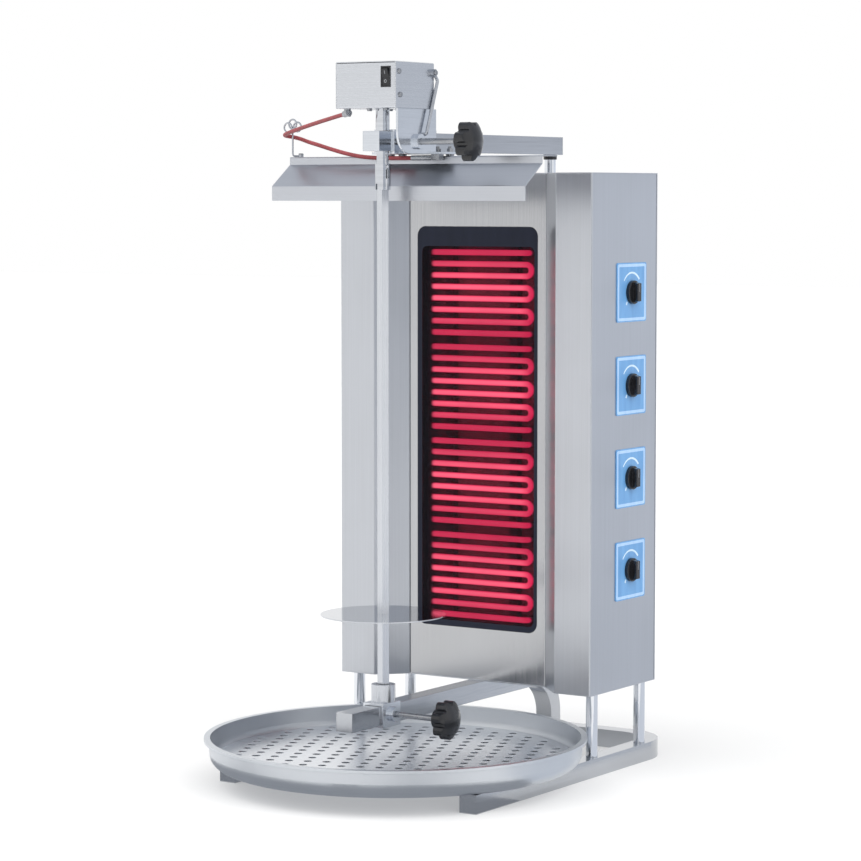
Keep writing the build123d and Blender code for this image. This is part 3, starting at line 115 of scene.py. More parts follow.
@dataclass(frozen=True)
class Finish:
    """A real material and the way its surface was made."""

    name: str
    dark: str
    light: str
    smooth: float
    rough: float

    def material(self) -> bpy.types.Material:
        """Make the material the first time it is asked for.

        Returns:
            The material of this finish.
        """
        made = bpy.data.materials.get(self.name)
        if made is not None:
            return made
        made = bpy.data.materials.new(self.name)
        made.use_nodes = True
        tree = made.node_tree
        tree.nodes.clear()
        shader = add_node(tree, "ShaderNodeBsdfPrincipled")
        add_node(tree, "ShaderNodeOutputMaterial", {"Surface": shader.outputs[0]})
        made.diffuse_color = linear(self.light)
        self.paint(tree, shader)
        return made

    def paint(self, tree: bpy.types.NodeTree, shader: bpy.types.Node) -> None:
        """Add the pattern that drives the shader; each finish has its own."""
        raise NotImplementedError

    def shade(
        self, tree: bpy.types.NodeTree, shader: bpy.types.Node, tone: bpy.types.NodeSocket,
        wear: bpy.types.NodeSocket,
    ) -> None:
        """Drive colour and roughness from two patterns.

        Args:
            tree: Node tree of the material.
            shader: Its surface shader.
            tone: Pattern from dark to light.
            wear: Pattern from smooth to rough.
        """
        spread = add_node(tree, "ShaderNodeMapRange", {0: tone, 1: NOISE_LOW, 2: NOISE_HIGH})
        colour = add_node(
            tree, "ShaderNodeMix", {0: spread.outputs[0], 6: linear(self.dark), 7: linear(self.light)},
            data_type="RGBA",
        )
        tree.links.new(colour.outputs[2], shader.inputs["Base Color"])
        gloss = add_node(
            tree, "ShaderNodeMapRange",
            {0: wear, 1: NOISE_LOW, 2: NOISE_HIGH, 3: self.smooth, 4: self.rough},
        )
        tree.links.new(gloss.outputs[0], shader.inputs["Roughness"])

    @staticmethod
    def relief(
        tree: bpy.types.NodeTree, shader: bpy.types.Node, height: bpy.types.NodeSocket, depth_mm: float,
        edge_mm: float,
    ) -> None:
        """Round the edges to the eye and add a fine relief.

        Args:
            tree: Node tree of the material.
            shader: Its surface shader.
            height: Pattern that gives the relief.
            depth_mm: Depth of the relief.
            edge_mm: Radius of a worked edge.
        """
        edge = add_node(tree, "ShaderNodeBevel", {"Radius": edge_mm * MM}, samples=6)
        bump = add_node(
            tree, "ShaderNodeBump",
            {"Height": height, "Strength": 1.0, "Distance": depth_mm * MM, "Normal": edge.outputs[0]},
        )
        tree.links.new(bump.outputs[0], shader.inputs["Normal"])


@dataclass(frozen=True)
class BrushedSteel(Finish):
    """Stainless steel from a sanding belt: straight scratches that draw every reflection out sideways."""

    grain: Grain = Grain.UPRIGHT
    scratch_mm: float = 1.8  # real scratches are near 0.1 mm, drawn coarser so that they show
    run_mm: float = 260.0
    cloud_mm: float = 170.0
    depth_mm: float = 0.003
    edge_mm: float = 0.7
    cloud_share: float = 0.45

    def paint(self, tree: bpy.types.NodeTree, shader: bpy.types.Node) -> None:
        """Lay stretched noise along the grain and wide hand marks over it.

        Args:
            tree: Node tree of the material.
            shader: Its surface shader.
        """
        place = add_node(tree, "ShaderNodeTexCoord").outputs["Object"]
        stretch = [1 / (self.scratch_mm * MM)] * 3
        for axis in self.grain.value:
            stretch[axis] = 1 / (self.run_mm * MM)
        along = add_node(tree, "ShaderNodeMapping", {"Vector": place, "Scale": stretch})
        lines = add_node(
            tree, "ShaderNodeTexNoise",
            {"Vector": along.outputs[0], "Scale": 1.0, "Detail": 3.0, "Roughness": 0.65},
        )
        clouds = add_node(
            tree, "ShaderNodeTexNoise",
            {"Vector": place, "Scale": 1 / (self.cloud_mm * MM), "Detail": 2.0, "Distortion": 0.4},
        )
        both = add_node(
            tree, "ShaderNodeMix", {0: self.cloud_share, 2: lines.outputs[0], 3: clouds.outputs[0]},
            data_type="FLOAT",
        )
        self.shade(tree, shader, both.outputs[0], lines.outputs[0])
        self.relief(tree, shader, lines.outputs[0], self.depth_mm, self.edge_mm)
        shader.inputs["Metallic"].default_value = 1.0


@dataclass(frozen=True)
class TurnedSteel(Finish):
    """Stainless steel spun or turned on a lathe: fine rings about the axis, which fan out the highlights."""

    axis_x: float = 0.0
    axis_y: float = 0.0
    ring_mm: float = 1.8  # real tool marks are near 0.2 mm, drawn coarser so that they show
    depth_mm: float = 0.003
    edge_mm: float = 0.6
    stain_mm: float = 60.0
    stain_share: float = 0.55
    down: float = 0.3  # rings on a wall lie further apart than on a floor

    def paint(self, tree: bpy.types.NodeTree, shader: bpy.types.Node) -> None:
        """Draw rings by distance from the axis, with faint stains over them.

        Args:
            tree: Node tree of the material.
            shader: Its surface shader.
        """
        place = add_node(tree, "ShaderNodeTexCoord").outputs["Object"]
        centred = add_node(
            tree, "ShaderNodeMapping",
            {"Vector": place, "Location": (-self.axis_x, -self.axis_y, 0.0), "Scale": (1.0, 1.0, self.down)},
        )
        reach = add_node(tree, "ShaderNodeVectorMath", {0: centred.outputs[0]}, operation="LENGTH")
        rings = add_node(
            tree, "ShaderNodeTexNoise",
            {"W": reach.outputs["Value"], "Scale": 1 / (self.ring_mm * MM), "Detail": 2.0},
            noise_dimensions="1D",
        )
        stains = add_node(
            tree, "ShaderNodeTexNoise", {"Vector": place, "Scale": 1 / (self.stain_mm * MM), "Detail": 4.0}
        )
        both = add_node(
            tree, "ShaderNodeMix", {0: self.stain_share, 2: rings.outputs[0], 3: stains.outputs[0]},
            data_type="FLOAT",
        )
        self.shade(tree, shader, both.outputs[0], both.outputs[0])
        self.relief(tree, shader, rings.outputs[0], self.depth_mm, self.edge_mm)
        shader.inputs["Metallic"].default_value = 1.0


@dataclass(frozen=True)
class PlainMetal(Finish):
    """Drawn, plated or cast metal with no set direction: a soft mottle and slightly broken edges."""

    mottle_mm: float = 14.0
    depth_mm: float = 0.006
    edge_mm: float = 0.4

    def paint(self, tree: bpy.types.NodeTree, shader: bpy.types.Node) -> None:
        """Mottle the colour and the gloss with one noise.

        Args:
            tree: Node tree of the material.
            shader: Its surface shader.
        """
        place = add_node(tree, "ShaderNodeTexCoord").outputs["Object"]
        mottle = add_node(
            tree, "ShaderNodeTexNoise",
            {"Vector": place, "Scale": 1 / (self.mottle_mm * MM), "Detail": 5.0, "Roughness": 0.6},
        )
        self.shade(tree, shader, mottle.outputs[0], mottle.outputs[0])
        self.relief(tree, shader, mottle.outputs[0], self.depth_mm, self.edge_mm)
        shader.inputs["Metallic"].default_value = 1.0


@dataclass(frozen=True)
class MouldedPlastic(Finish):
    """Moulded plastic or rubber: a fine spark-eroded grain that spreads the light, shinier where it is rubbed."""

    ior: float = 1.49
    grit_mm: float = 1.4  # real mould grit is near 0.2 mm, drawn coarser so that it shows
    depth_mm: float = 0.03
    edge_mm: float = 0.5
    rub_mm: float = 18.0

    def paint(self, tree: bpy.types.NodeTree, shader: bpy.types.Node) -> None:
        """Add mould grit, and larger patches where hands have rubbed it.

        Args:
            tree: Node tree of the material.
            shader: Its surface shader.
        """
        place = add_node(tree, "ShaderNodeTexCoord").outputs["Object"]
        grit = add_node(
            tree, "ShaderNodeTexNoise",
            {"Vector": place, "Scale": 1 / (self.grit_mm * MM), "Detail": 2.0},
        )
        rub = add_node(
            tree, "ShaderNodeTexNoise", {"Vector": place, "Scale": 1 / (self.rub_mm * MM), "Detail": 3.0}
        )
        self.shade(tree, shader, rub.outputs[0], rub.outputs[0])
        self.relief(tree, shader, grit.outputs[0], self.depth_mm, self.edge_mm)
        shader.inputs["IOR"].default_value = self.ior


@dataclass(frozen=True)
class ScreenPrint(Finish):
    """Ink screen-printed on a satin sheet: an even colour with the faint mottle of a squeegee pass."""

    mottle_mm: float = 9.0
    coat: float = 0.25
    ior: float = 1.5
    coat_rough: float = 0.2
    pull: float = 6.0  # length of a mottle mark along the squeegee's pass over its width

    def paint(self, tree: bpy.types.NodeTree, shader: bpy.types.Node) -> None:
        """Stretch a faint mottle along the squeegee's pass and lay a thin lacquer over it.

        Args:
            tree: Node tree of the material.
            shader: Its surface shader.
        """
        place = add_node(tree, "ShaderNodeTexCoord").outputs["Object"]
        fine = 1 / (self.mottle_mm * MM)
        along = add_node(
            tree, "ShaderNodeMapping", {"Vector": place, "Scale": (fine, fine, fine / self.pull)}
        )
        ink = add_node(
            tree, "ShaderNodeTexNoise", {"Vector": along.outputs[0], "Scale": 1.0, "Detail": 4.0}
        )
        self.shade(tree, shader, ink.outputs[0], ink.outputs[0])
        shader.inputs["IOR"].default_value = self.ior
        shader.inputs["Coat Weight"].default_value = self.coat
        shader.inputs["Coat Roughness"].default_value = self.coat_rough


@dataclass(frozen=True)
class GlassCeramic(Finish):
    """Smoke-tinted glass-ceramic: clear enough for the glow, dark where nothing shines behind it."""

    ior: float = 1.5
    shine: float = 0.08
    tint: str = "#5A5F6B"
    haze_mm: float = 55.0

    def paint(self, tree: bpy.types.NodeTree, shader: bpy.types.Node) -> None:
        """Tint the glass and leave a faint wiped haze on its gloss.

        Args:
            tree: Node tree of the material.
            shader: Its surface shader.
        """
        place = add_node(tree, "ShaderNodeTexCoord").outputs["Object"]
        haze = add_node(
            tree, "ShaderNodeTexNoise", {"Vector": place, "Scale": 1 / (self.haze_mm * MM), "Detail": 4.0}
        )
        self.shade(tree, shader, haze.outputs[0], haze.outputs[0])
        shader.inputs["Transmission Weight"].default_value = 1.0
        shader.inputs["IOR"].default_value = self.ior
        shader.inputs["Specular IOR Level"].default_value = self.shine
        shader.inputs["Specular Tint"].default_value = linear(self.tint)


@dataclass(frozen=True)
class HotElement(Finish):
    """Sheathed nickel-alloy rod at red heat: a painted highlight along its front, painted shade on its upper and
    lower faces, duller at the turns and cold ends.
    """

    # Painted light: the first colour is painted shade on the rod's upper and lower faces, the third a painted
    # highlight along its front.
    rim_shade: str = "#5A101C"
    edge: str = "#CF1B36"
    front_highlight: str = "#FE5B5D"
    cold: str = "#0A0102"
    strength: float = 15.0
    first_zone: float = 0.2549
    zone_pitch: float = 0.13075
    inner_pass: float = 0.0100
    outer_pass: float = 0.0580
    outer_core: float = 0.2
    outer_heat: float = 0.8
    end_cold: float = -0.0790
    end_hot: float = -0.0712
    lead_hot: float = 0.1375
    lead_cold: float = 0.1440
    turn_hot: float = 0.0690
    turn_red: float = 0.0830
    turn_core: float = 0.15
    sides: Point2 = (0.0, 0.35)
    front: Point2 = (0.4, 0.95)
    scale_mm: float = 5.0

    def paint(self, tree: bpy.types.NodeTree, shader: bpy.types.Node) -> None:
        """Grade the glow over each zone's passes and towards the turns, with a painted highlight on the rod's
        front and painted shade on its upper and lower faces.

        Args:
            tree: Node tree of the material.
            shader: Its surface shader.
        """
        coords = add_node(tree, "ShaderNodeTexCoord")
        place = coords.outputs["Object"]
        oxide = add_node(
            tree, "ShaderNodeTexNoise", {"Vector": place, "Scale": 1 / (self.scale_mm * MM), "Detail": 3.0}
        )
        self.shade(tree, shader, oxide.outputs[0], oxide.outputs[0])
        # The rod's facing sets the painted shade on its upper and lower faces and the painted highlight on its
        # front.
        facing = add_node(tree, "ShaderNodeSeparateXYZ", {0: coords.outputs["Normal"]})
        flat = add_node(tree, "ShaderNodeMath", {0: facing.outputs[1]}, operation="ABSOLUTE")
        sides = add_node(
            tree, "ShaderNodeMapRange", {0: flat.outputs[0], 1: self.sides[0], 2: self.sides[1]},
            interpolation_type="SMOOTHSTEP",
        )
        front = add_node(
            tree, "ShaderNodeMapRange", {0: flat.outputs[0], 1: self.front[0], 2: self.front[1]},
            interpolation_type="SMOOTHSTEP",
        )
        where = add_node(tree, "ShaderNodeSeparateXYZ", {0: place})
        reach = self.zone_reach(tree, where.outputs[2])
        passes = add_node(tree, "ShaderNodeMapRange", {0: reach, 3: 1.0, 4: self.outer_heat})
        hottest = add_node(tree, "ShaderNodeMapRange", {0: reach, 3: 1.0, 4: self.outer_core})
        ends = add_node(
            tree, "ShaderNodeMapRange", {0: where.outputs[0], 1: self.end_cold, 2: self.end_hot},
            interpolation_type="SMOOTHSTEP",
        )
        leads = add_node(tree, "ShaderNodeMapRange", {0: where.outputs[1], 1: self.lead_cold, 2: self.lead_hot})
        rod = add_node(
            tree, "ShaderNodeMath", {0: ends.outputs[0], 1: leads.outputs[0]}, operation="MULTIPLY"
        )
        heat = add_node(
            tree, "ShaderNodeMath", {0: passes.outputs[0], 1: rod.outputs[0]}, operation="MULTIPLY"
        )
        shaded_rim = add_node(
            tree, "ShaderNodeMix",
            {0: sides.outputs[0], 6: linear(self.rim_shade), 7: linear(self.edge)}, data_type="RGBA",
        )
        turns = add_node(
            tree, "ShaderNodeMapRange",
            {0: where.outputs[0], 1: self.turn_hot, 2: self.turn_red, 3: 1.0, 4: self.turn_core},
        )
        straight = add_node(
            tree, "ShaderNodeMath", {0: turns.outputs[0], 1: hottest.outputs[0]}, operation="MULTIPLY"
        )
        # Mask of the painted highlight along the rod's front.
        centre = add_node(
            tree, "ShaderNodeMath", {0: front.outputs[0], 1: straight.outputs[0]}, operation="MULTIPLY"
        )
        glow = add_node(
            tree, "ShaderNodeMix", {0: centre.outputs[0], 6: shaded_rim.outputs[2], 7: linear(self.front_highlight)},
            data_type="RGBA",
        )
        shining = add_node(
            tree, "ShaderNodeMix", {0: heat.outputs[0], 6: linear(self.cold), 7: glow.outputs[2]},
            data_type="RGBA",
        )
        tree.links.new(shining.outputs[2], shader.inputs["Emission Color"])
        shader.inputs["Emission Strength"].default_value = self.strength

    def zone_reach(self, tree: bpy.types.NodeTree, up: bpy.types.NodeSocket) -> bpy.types.NodeSocket:
        """Tell how far a point lies from the middle of its heating zone.

        Args:
            tree: Node tree of the material.
            up: Height of the point.

        Returns:
            The socket that is zero at the zone's inner passes and one at its outer ones.
        """
        zone = add_node(
            tree, "ShaderNodeMath",
            {0: up, 1: 1 / self.zone_pitch, 2: 0.5 - self.first_zone / self.zone_pitch},
            operation="MULTIPLY_ADD",
        )
        turn = add_node(tree, "ShaderNodeMath", {0: zone.outputs[0]}, operation="FRACT")
        offset = add_node(tree, "ShaderNodeMath", {0: turn.outputs[0], 1: 0.5}, operation="SUBTRACT")
        middle = add_node(tree, "ShaderNodeMath", {0: offset.outputs[0]}, operation="ABSOLUTE")
        return add_node(
            tree, "ShaderNodeMapRange",
            {0: middle.outputs[0], 1: self.inner_pass / self.zone_pitch, 2: self.outer_pass / self.zone_pitch},
            interpolation_type="SMOOTHSTEP",
        ).outputs[0]


# Satin casing sheet: upright streaks smear its reflections into broad, even greys.
SHEET_UPRIGHT = BrushedSteel("stainless_sheet_brushed_upright", "#BCBFC4", "#C6C9CF", 0.28, 0.34)
# Finer front sheet: keeps a blurred image of the spit and a brighter sheen.
SHEET_PANEL = BrushedSteel("stainless_panel_brushed_upright", "#B1B2B4", "#BDBEC1", 0.15, 0.23)
# Lids and hood: level streaks give a soft sheen that fades towards the edges.
SHEET_ACROSS = BrushedSteel("stainless_sheet_brushed_across", "#BEC1C7", "#C8CBD1", 0.3, 0.38, Grain.ACROSS)
# Motor box: pale, clearly streaked sheet, lighter than the cabinet.
BOX_SHEET = BrushedSteel("stainless_box_brushed_level", "#CBCED3", "#D3D6DB", 0.22, 0.3, Grain.LEVEL)
# Ground square tube: darker, with sharp light and dark bands along its length.
TUBE_DEEP = BrushedSteel(
    "stainless_tube_ground_lengthwise", "#B4B7BC", "#C2C5CA", 0.14, 0.24, Grain.DEEP, 1.6, 140.0
)
# Polished round tube: narrow mirror bands that make it read as round.
TUBE_UPRIGHT = BrushedSteel(
    "stainless_tube_polished", "#DCDFE4", "#E6E9EE", 0.07, 0.12, Grain.UPRIGHT, 1.6, 140.0, 170.0, 0.002
)
# Cold-drawn bar: dull satin faces that change tone at each corner.
BAR_DRAWN = BrushedSteel(
    "stainless_bar_cold_drawn", "#C6C9CF", "#D2D5DA", 0.22, 0.3, Grain.UPRIGHT, 1.4, 300.0
)
# Milled block: bright faces with a faint cutter grain and a clear reflection.
BLOCK_MILLED = BrushedSteel(
    "stainless_block_milled", "#D0D4DA", "#DCE0E6", 0.12, 0.2, Grain.LEVEL, 1.4, 60.0
)
# Punched plate: pale and shiny, so the holes and the arm above it stand out.
PLATE_PUNCHED = BrushedSteel(
    "stainless_plate_punched", "#DCDFE4", "#E6E9EE", 0.2, 0.28, Grain.ACROSS, 1.6, 160.0
)
# Spun tray: soft rings that fan the light along the rim.
TRAY_SPUN = TurnedSteel("stainless_sheet_spun_tray", "#CDD1D6", "#D6DADF", 0.32, 0.4, 0.0, -0.0768)
# Polished disc: nearly a mirror, seen as a thin bright ellipse.
DISC_SPUN = TurnedSteel("stainless_sheet_spun_disc", "#C8CBD0", "#CED1D6", 0.05, 0.09, 0.0, -0.1062)
# Turned shaft: crisp bright lines along a round bar.
SHAFT_TURNED = TurnedSteel("stainless_bar_turned", "#C6C9CE", "#D8DBE0", 0.08, 0.15, 0.0, -0.1062)
# Bright wire: small sparkles on the hook and the brace.
WIRE_POLISHED = PlainMetal("stainless_wire_polished", "#A9ACB2", "#BFC2C8", 0.1, 0.18)
# Zinc plate: greyer and duller than the stainless round it, so screws show.
ZINC_PLATED = PlainMetal("steel_zinc_plated", "#94969A", "#AEB0B4", 0.22, 0.3, 14.0)
# Sintered bronze: a warm ring in the bearings.
BRONZE_SINTERED = PlainMetal("bronze_sintered", "#9A7440", "#B98E55", 0.3, 0.45, 2.5)
# Aluminised pan: dark, mottled grey that keeps the glow inside.
STEEL_ALUMINISED = PlainMetal("steel_aluminised", "#55575B", "#6A6C70", 0.38, 0.55, 7.0)
# Heat-scaled rails: matt and dark, seen as shadows behind the glow.
STEEL_SCALED = PlainMetal("steel_heat_scaled", "#6E6A68", "#7C7875", 0.6, 0.8, 4.0)
# Phenolic knobs: deep black with a soft highlight on every lobe.
BLACK_MOULDED = MouldedPlastic("phenolic_black_moulded", "#0E0F12", "#1A1B20", 0.16, 0.28, 1.55)
# Black nylon: matt, a little greyer than the knobs.
NYLON_BLACK = MouldedPlastic("nylon_black_moulded", "#191A1E", "#26272C", 0.36, 0.5, 1.53)
# Natural nylon: off-white and matt.
NYLON_LIGHT = MouldedPlastic("nylon_natural_moulded", "#C9C7BE", "#DEDCD4", 0.38, 0.5, 1.53)
# Silicone lead: dull brick red without a hard highlight.
SILICONE_RED = MouldedPlastic(
    "silicone_rubber_red_extruded", "#8E3C3F", "#A85055", 0.38, 0.54, 1.41, 2.5, 0.02
)
# Sprayed motor: dark grey with a slight orange peel.
MOTOR_ENAMEL = MouldedPlastic("enamel_grey_sprayed", "#3A3C40", "#4A4C50", 0.3, 0.45, 1.5, 2.2, 0.03)
# Blue plate print: flat satin blue with a faint squeegee mottle.
PRINT_BLUE = ScreenPrint("ink_blue_screen_printed", "#5F9AD4", "#70AAE0", 0.32, 0.42)
# Pale frame print: a light blue line round each plate.
PRINT_PALE = ScreenPrint("ink_pale_blue_screen_printed", "#A6CCF4", "#B6D8FC", 0.34, 0.44)
# White scale print: the brightest mark on the plate.
PRINT_WHITE = ScreenPrint("ink_white_screen_printed", "#C6E2F8", "#DAEFFF", 0.36, 0.46)
# Filled grooves and marks: grey paint that reads on black.
PAINT_GREY = ScreenPrint("paint_grey_filled", "#8C8E92", "#A2A4A8", 0.4, 0.5)
# Smoked glass: lets the red glow through and stays almost black elsewhere.
GLASS_SMOKED = GlassCeramic("glass_ceramic_smoked", "#484E64", "#4E546A", 0.01, 0.03)
# Fired border print: blue-black and matt, hides the edge of the heater.
ENAMEL_DARK = ScreenPrint("enamel_dark_fired_print", "#1A1F2E", "#1E2333", 0.3, 0.4, 12.0, 0.0, 1.3)
# Red-hot rods: a painted pink highlight along the front, crimson with painted shade towards the upper and lower
# sides, crimson at the turns.
ELEMENT_HOT = HotElement("nickel_alloy_sheath_red_hot", "#2A1412", "#3C1E1A", 0.5, 0.7)
# Fibre board: matt, takes the dark red light of the rods between them.
BOARD_FIBRE = MouldedPlastic(
    "ceramic_fibre_board_pressed", "#706B68", "#7E7875", 0.8, 0.95, 1.5, 3.0, 0.25, 0.8
)


def dress(finish: Finish, *nodes: str) -> None:
    """Put one finish on solids through their material slots.

    Args:
        finish: The finish.
        nodes: Names of the solids' nodes.
    """
    material = finish.material()
    for name in nodes:
        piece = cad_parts[name]
        if not piece.material_slots:
            piece.data.materials.append(material)
        for place in piece.material_slots:
            place.material = material
        LOG.info("%s dressed in %s", name, finish.name)


def add_piece(name: str, mesh: bmesh.types.BMesh, finish: Finish, body: str) -> None:
    """Turn a built mesh into a piece that rides on a body.

    Args:
        name: Name of the piece.
        mesh: Its mesh, in place.
        finish: Its finish.
        body: Body that carries it.
    """
    data = bpy.data.meshes.new(name)
    bmesh.ops.recalc_face_normals(mesh, faces=mesh.faces[:])
    mesh.to_mesh(data)
    mesh.free()
    data.materials.append(finish.material())
    piece = bpy.data.objects.new(name, data)
    bpy.context.scene.collection.objects.link(piece)
    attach(piece, body)
    LOG.info("%s added on %s", name, body)


def band(
    mesh: bmesh.types.BMesh, rails: tuple[Sequence[Point3], Sequence[Point3]], lift: Point3, closed: bool = False
) -> None:
    """Add a thin closed band between two rails.

    Args:
        mesh: Mesh that gets the band.
        rails: Two rows of as many points, along the band's two edges on its lower face.
        lift: Step from the lower face to the upper one.
        closed: Whether the band runs round to its start.
    """
    step = Vector(lift)
    rows = [
        [mesh.verts.new(Vector(a)), mesh.verts.new(Vector(b)),
         mesh.verts.new(Vector(b) + step), mesh.verts.new(Vector(a) + step)]
        for a, b in zip(*rails)
    ]
    pairs = list(zip(rows, rows[1:]))
    if closed:
        pairs.append((rows[-1], rows[0]))
    else:
        mesh.faces.new(rows[0])
        mesh.faces.new(rows[-1][::-1])
    for first, second in pairs:
        for k in range(4):
            n = (k + 1) % 4
            mesh.faces.new((first[k], first[n], second[n], second[k]))


def ring_points(low: Point2, high: Point2, corner: float, steps: int = 6) -> list[Point2]:
    """Points round an upright rectangle with round corners.

    Args:
        low: Its lower left corner.
        high: Its upper right corner.
        corner: Radius of its corners.
        steps: Steps in each corner.

    Returns:
        Points in order round the rectangle.
    """
    centres = (
        (high[0] - corner, high[1] - corner), (low[0] + corner, high[1] - corner),
        (low[0] + corner, low[1] + corner), (high[0] - corner, low[1] + corner),
    )
    points = []
    for quarter, (across, up) in enumerate(centres):
        for k in range(steps + 1):
            angle = math.pi / 2 * (quarter + k / steps)
            points.append((across + corner * math.cos(angle), up + corner * math.sin(angle)))
    return points


@dataclass
class BaseFrame:
    """Square-tube base, legs, lower arm, rear column and upper bar."""

    def dress(self) -> None:
        """Give the tubes their ground finish and the caps theirs."""
        dress(TUBE_DEEP, "base_frame", "lower_arm", "upper_bar", "tube_end_caps")
        dress(TUBE_UPRIGHT, "support_legs", "rear_column")
        dress(BAR_DRAWN, "column_brackets")
        dress(NYLON_BLACK, "column_bush")


@dataclass
class Cabinet:
    """Folded sheet cabinet with its covers and screws."""

    def dress(self) -> None:
        """Brush the upright sheets upright and the lids across."""
        dress(SHEET_UPRIGHT, "side_casing_left", "side_casing_right", "rear_cover")
        dress(SHEET_PANEL, "front_panel", "glass_frame")
        dress(SHEET_ACROSS, "top_cover", "bottom_pan")
        dress(ZINC_PLATED, "cabinet_screws")
        dress(NYLON_BLACK, "mains_gland")


@dataclass
class Heater:
    """Glass front with its printed border, four serpentine elements, their rails, board and pan."""

    zones: int = 4
    outline_corner: float = 0.0130
    window_corner: float = 0.0080
    window_left: float = 0.0070
    window_right: float = 0.0050
    window_top: float = 0.0270
    window_low: float = 0.0080
    ink: float = 0.00005

    def dress(self) -> None:
        """Light the elements behind the smoked glass."""
        dress(GLASS_SMOKED, "heater_glass")
        dress(ELEMENT_HOT, *(f"heating_element_{i + 1}" for i in range(self.zones)))
        dress(BOARD_FIBRE, "insulation_board")
        dress(STEEL_ALUMINISED, "heater_pan")
        dress(STEEL_SCALED, "element_rails")
        self.print_border()

    def print_border(self) -> None:
        """Print the dark enamel border on the face of the glass."""
        low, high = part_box("heater_glass")
        outer = ring_points((low[0], low[2]), (high[0], high[2]), self.outline_corner)
        inner = ring_points(
            (low[0] + self.window_left, low[2] + self.window_low),
            (high[0] - self.window_right, high[2] - self.window_top), self.window_corner,
        )
        mesh = bmesh.new()
        rails = tuple([(x, low[1], z) for x, z in ring] for ring in (outer, inner))
        band(mesh, rails, (0.0, -self.ink, 0.0), closed=True)
        add_piece("glass_border_print", mesh, ENAMEL_DARK, "frame")


@dataclass
class Controls:
    """Four printed plates with their rotary knobs, regulators and terminals."""

    heights: Sequence[float] = (0.650, 0.524, 0.398, 0.272)
    centre_y: float = 0.1938
    plate_face: float = 0.20395
    ink: float = 0.00008
    knob_face: float = 0.21645
    groove: float = 0.0006
    mark_length: float = 0.0118
    mark_width: float = 0.0013
    border_half: float = 0.0384
    border_width: float = 0.0040
    border_corner: float = 0.0030
    border_corner_inner: float = 0.0012
    arc_radius: float = 0.0265
    arc_from: float = -53.0
    arc_to: float = 50.0
    arc_thin: float = 0.0018
    arc_thick: float = 0.0032
    tick_low: Point2 = (-0.0124, -0.0126)
    tick_high: Point2 = (-0.0148, -0.0168)
    tick_width: float = 0.0030
    arc_steps: int = 40
    mark_start: float = 0.0004
    fill: float = 0.7

    def dress(self) -> None:
        """Finish the solids, then print each plate and fill each pointer."""
        dress(PRINT_BLUE, "control_plates")
        dress(BLACK_MOULDED, *(f"control_knob_{i + 1}" for i in range(len(self.heights))))
        dress(NYLON_LIGHT, "energy_regulators", "terminal_block")
        for number, height in enumerate(self.heights, start=1):
            self.print_border(number, height)
            self.print_scale(number, height)
            self.fill_pointer(number, height)

    def on_plate(self, height: float, across: float, up: float) -> Point3:
        """Return a point on the face of the plate at that height."""
        return self.plate_face, self.centre_y + across, height + up

    def print_border(self, number: int, height: float) -> None:
        """Print the pale frame just inside the plate's edge.

        Args:
            number: Number of the plate from the top.
            height: Height of its centre.
        """
        mesh = bmesh.new()
        rails = []
        for half, corner in (
            (self.border_half, self.border_corner),
            (self.border_half - self.border_width, self.border_corner_inner),
        ):
            ring = ring_points((-half, -half), (half, half), corner)
            rails.append([self.on_plate(height, *point) for point in ring])
        outer, inner = rails
        band(mesh, (outer, inner), (self.ink, 0.0, 0.0), closed=True)
        add_piece(f"plate_border_{number}", mesh, PRINT_PALE, "frame")

    def print_scale(self, number: int, height: float) -> None:
        """Print the white arc that swells towards full heat, and the tick at zero.

        Args:
            number: Number of the plate from the top.
            height: Height of its centre.
        """
        mesh = bmesh.new()
        outer, inner = [], []
        for k in range(self.arc_steps + 1):
            share = k / self.arc_steps
            angle = math.radians(self.arc_from + (self.arc_to - self.arc_from) * share)
            half = (self.arc_thin + (self.arc_thick - self.arc_thin) * share) / 2
            for row, radius in ((outer, self.arc_radius + half), (inner, self.arc_radius - half)):
                row.append(self.on_plate(height, radius * math.sin(angle), radius * math.cos(angle)))
        band(mesh, (outer, inner), (self.ink, 0.0, 0.0))
        low, high = Vector(self.tick_low), Vector(self.tick_high)
        side = (high - low).orthogonal().normalized() * self.tick_width / 2
        left = [self.on_plate(height, *(p + side)) for p in (low, high)]
        right = [self.on_plate(height, *(p - side)) for p in (low, high)]
        band(mesh, (left, right), (self.ink, 0.0, 0.0))
        add_piece(f"plate_scale_{number}", mesh, PRINT_WHITE, "frame")

    def fill_pointer(self, number: int, height: float) -> None:
        """Fill the knob's pointer groove with grey paint.

        Args:
            number: Number of the knob from the top.
            height: Height of its axis.
        """
        mesh = bmesh.new()
        floor = self.knob_face - self.groove
        half = self.mark_width / 2
        ends = (height + self.mark_start, height + self.mark_length)
        left = [(floor, self.centre_y - half, z) for z in ends]
        right = [(floor, self.centre_y + half, z) for z in ends]
        band(mesh, (left, right), (self.fill * self.groove, 0.0, 0.0))
        add_piece(f"knob_pointer_{number}", mesh, PAINT_GREY, f"knob_{number}")


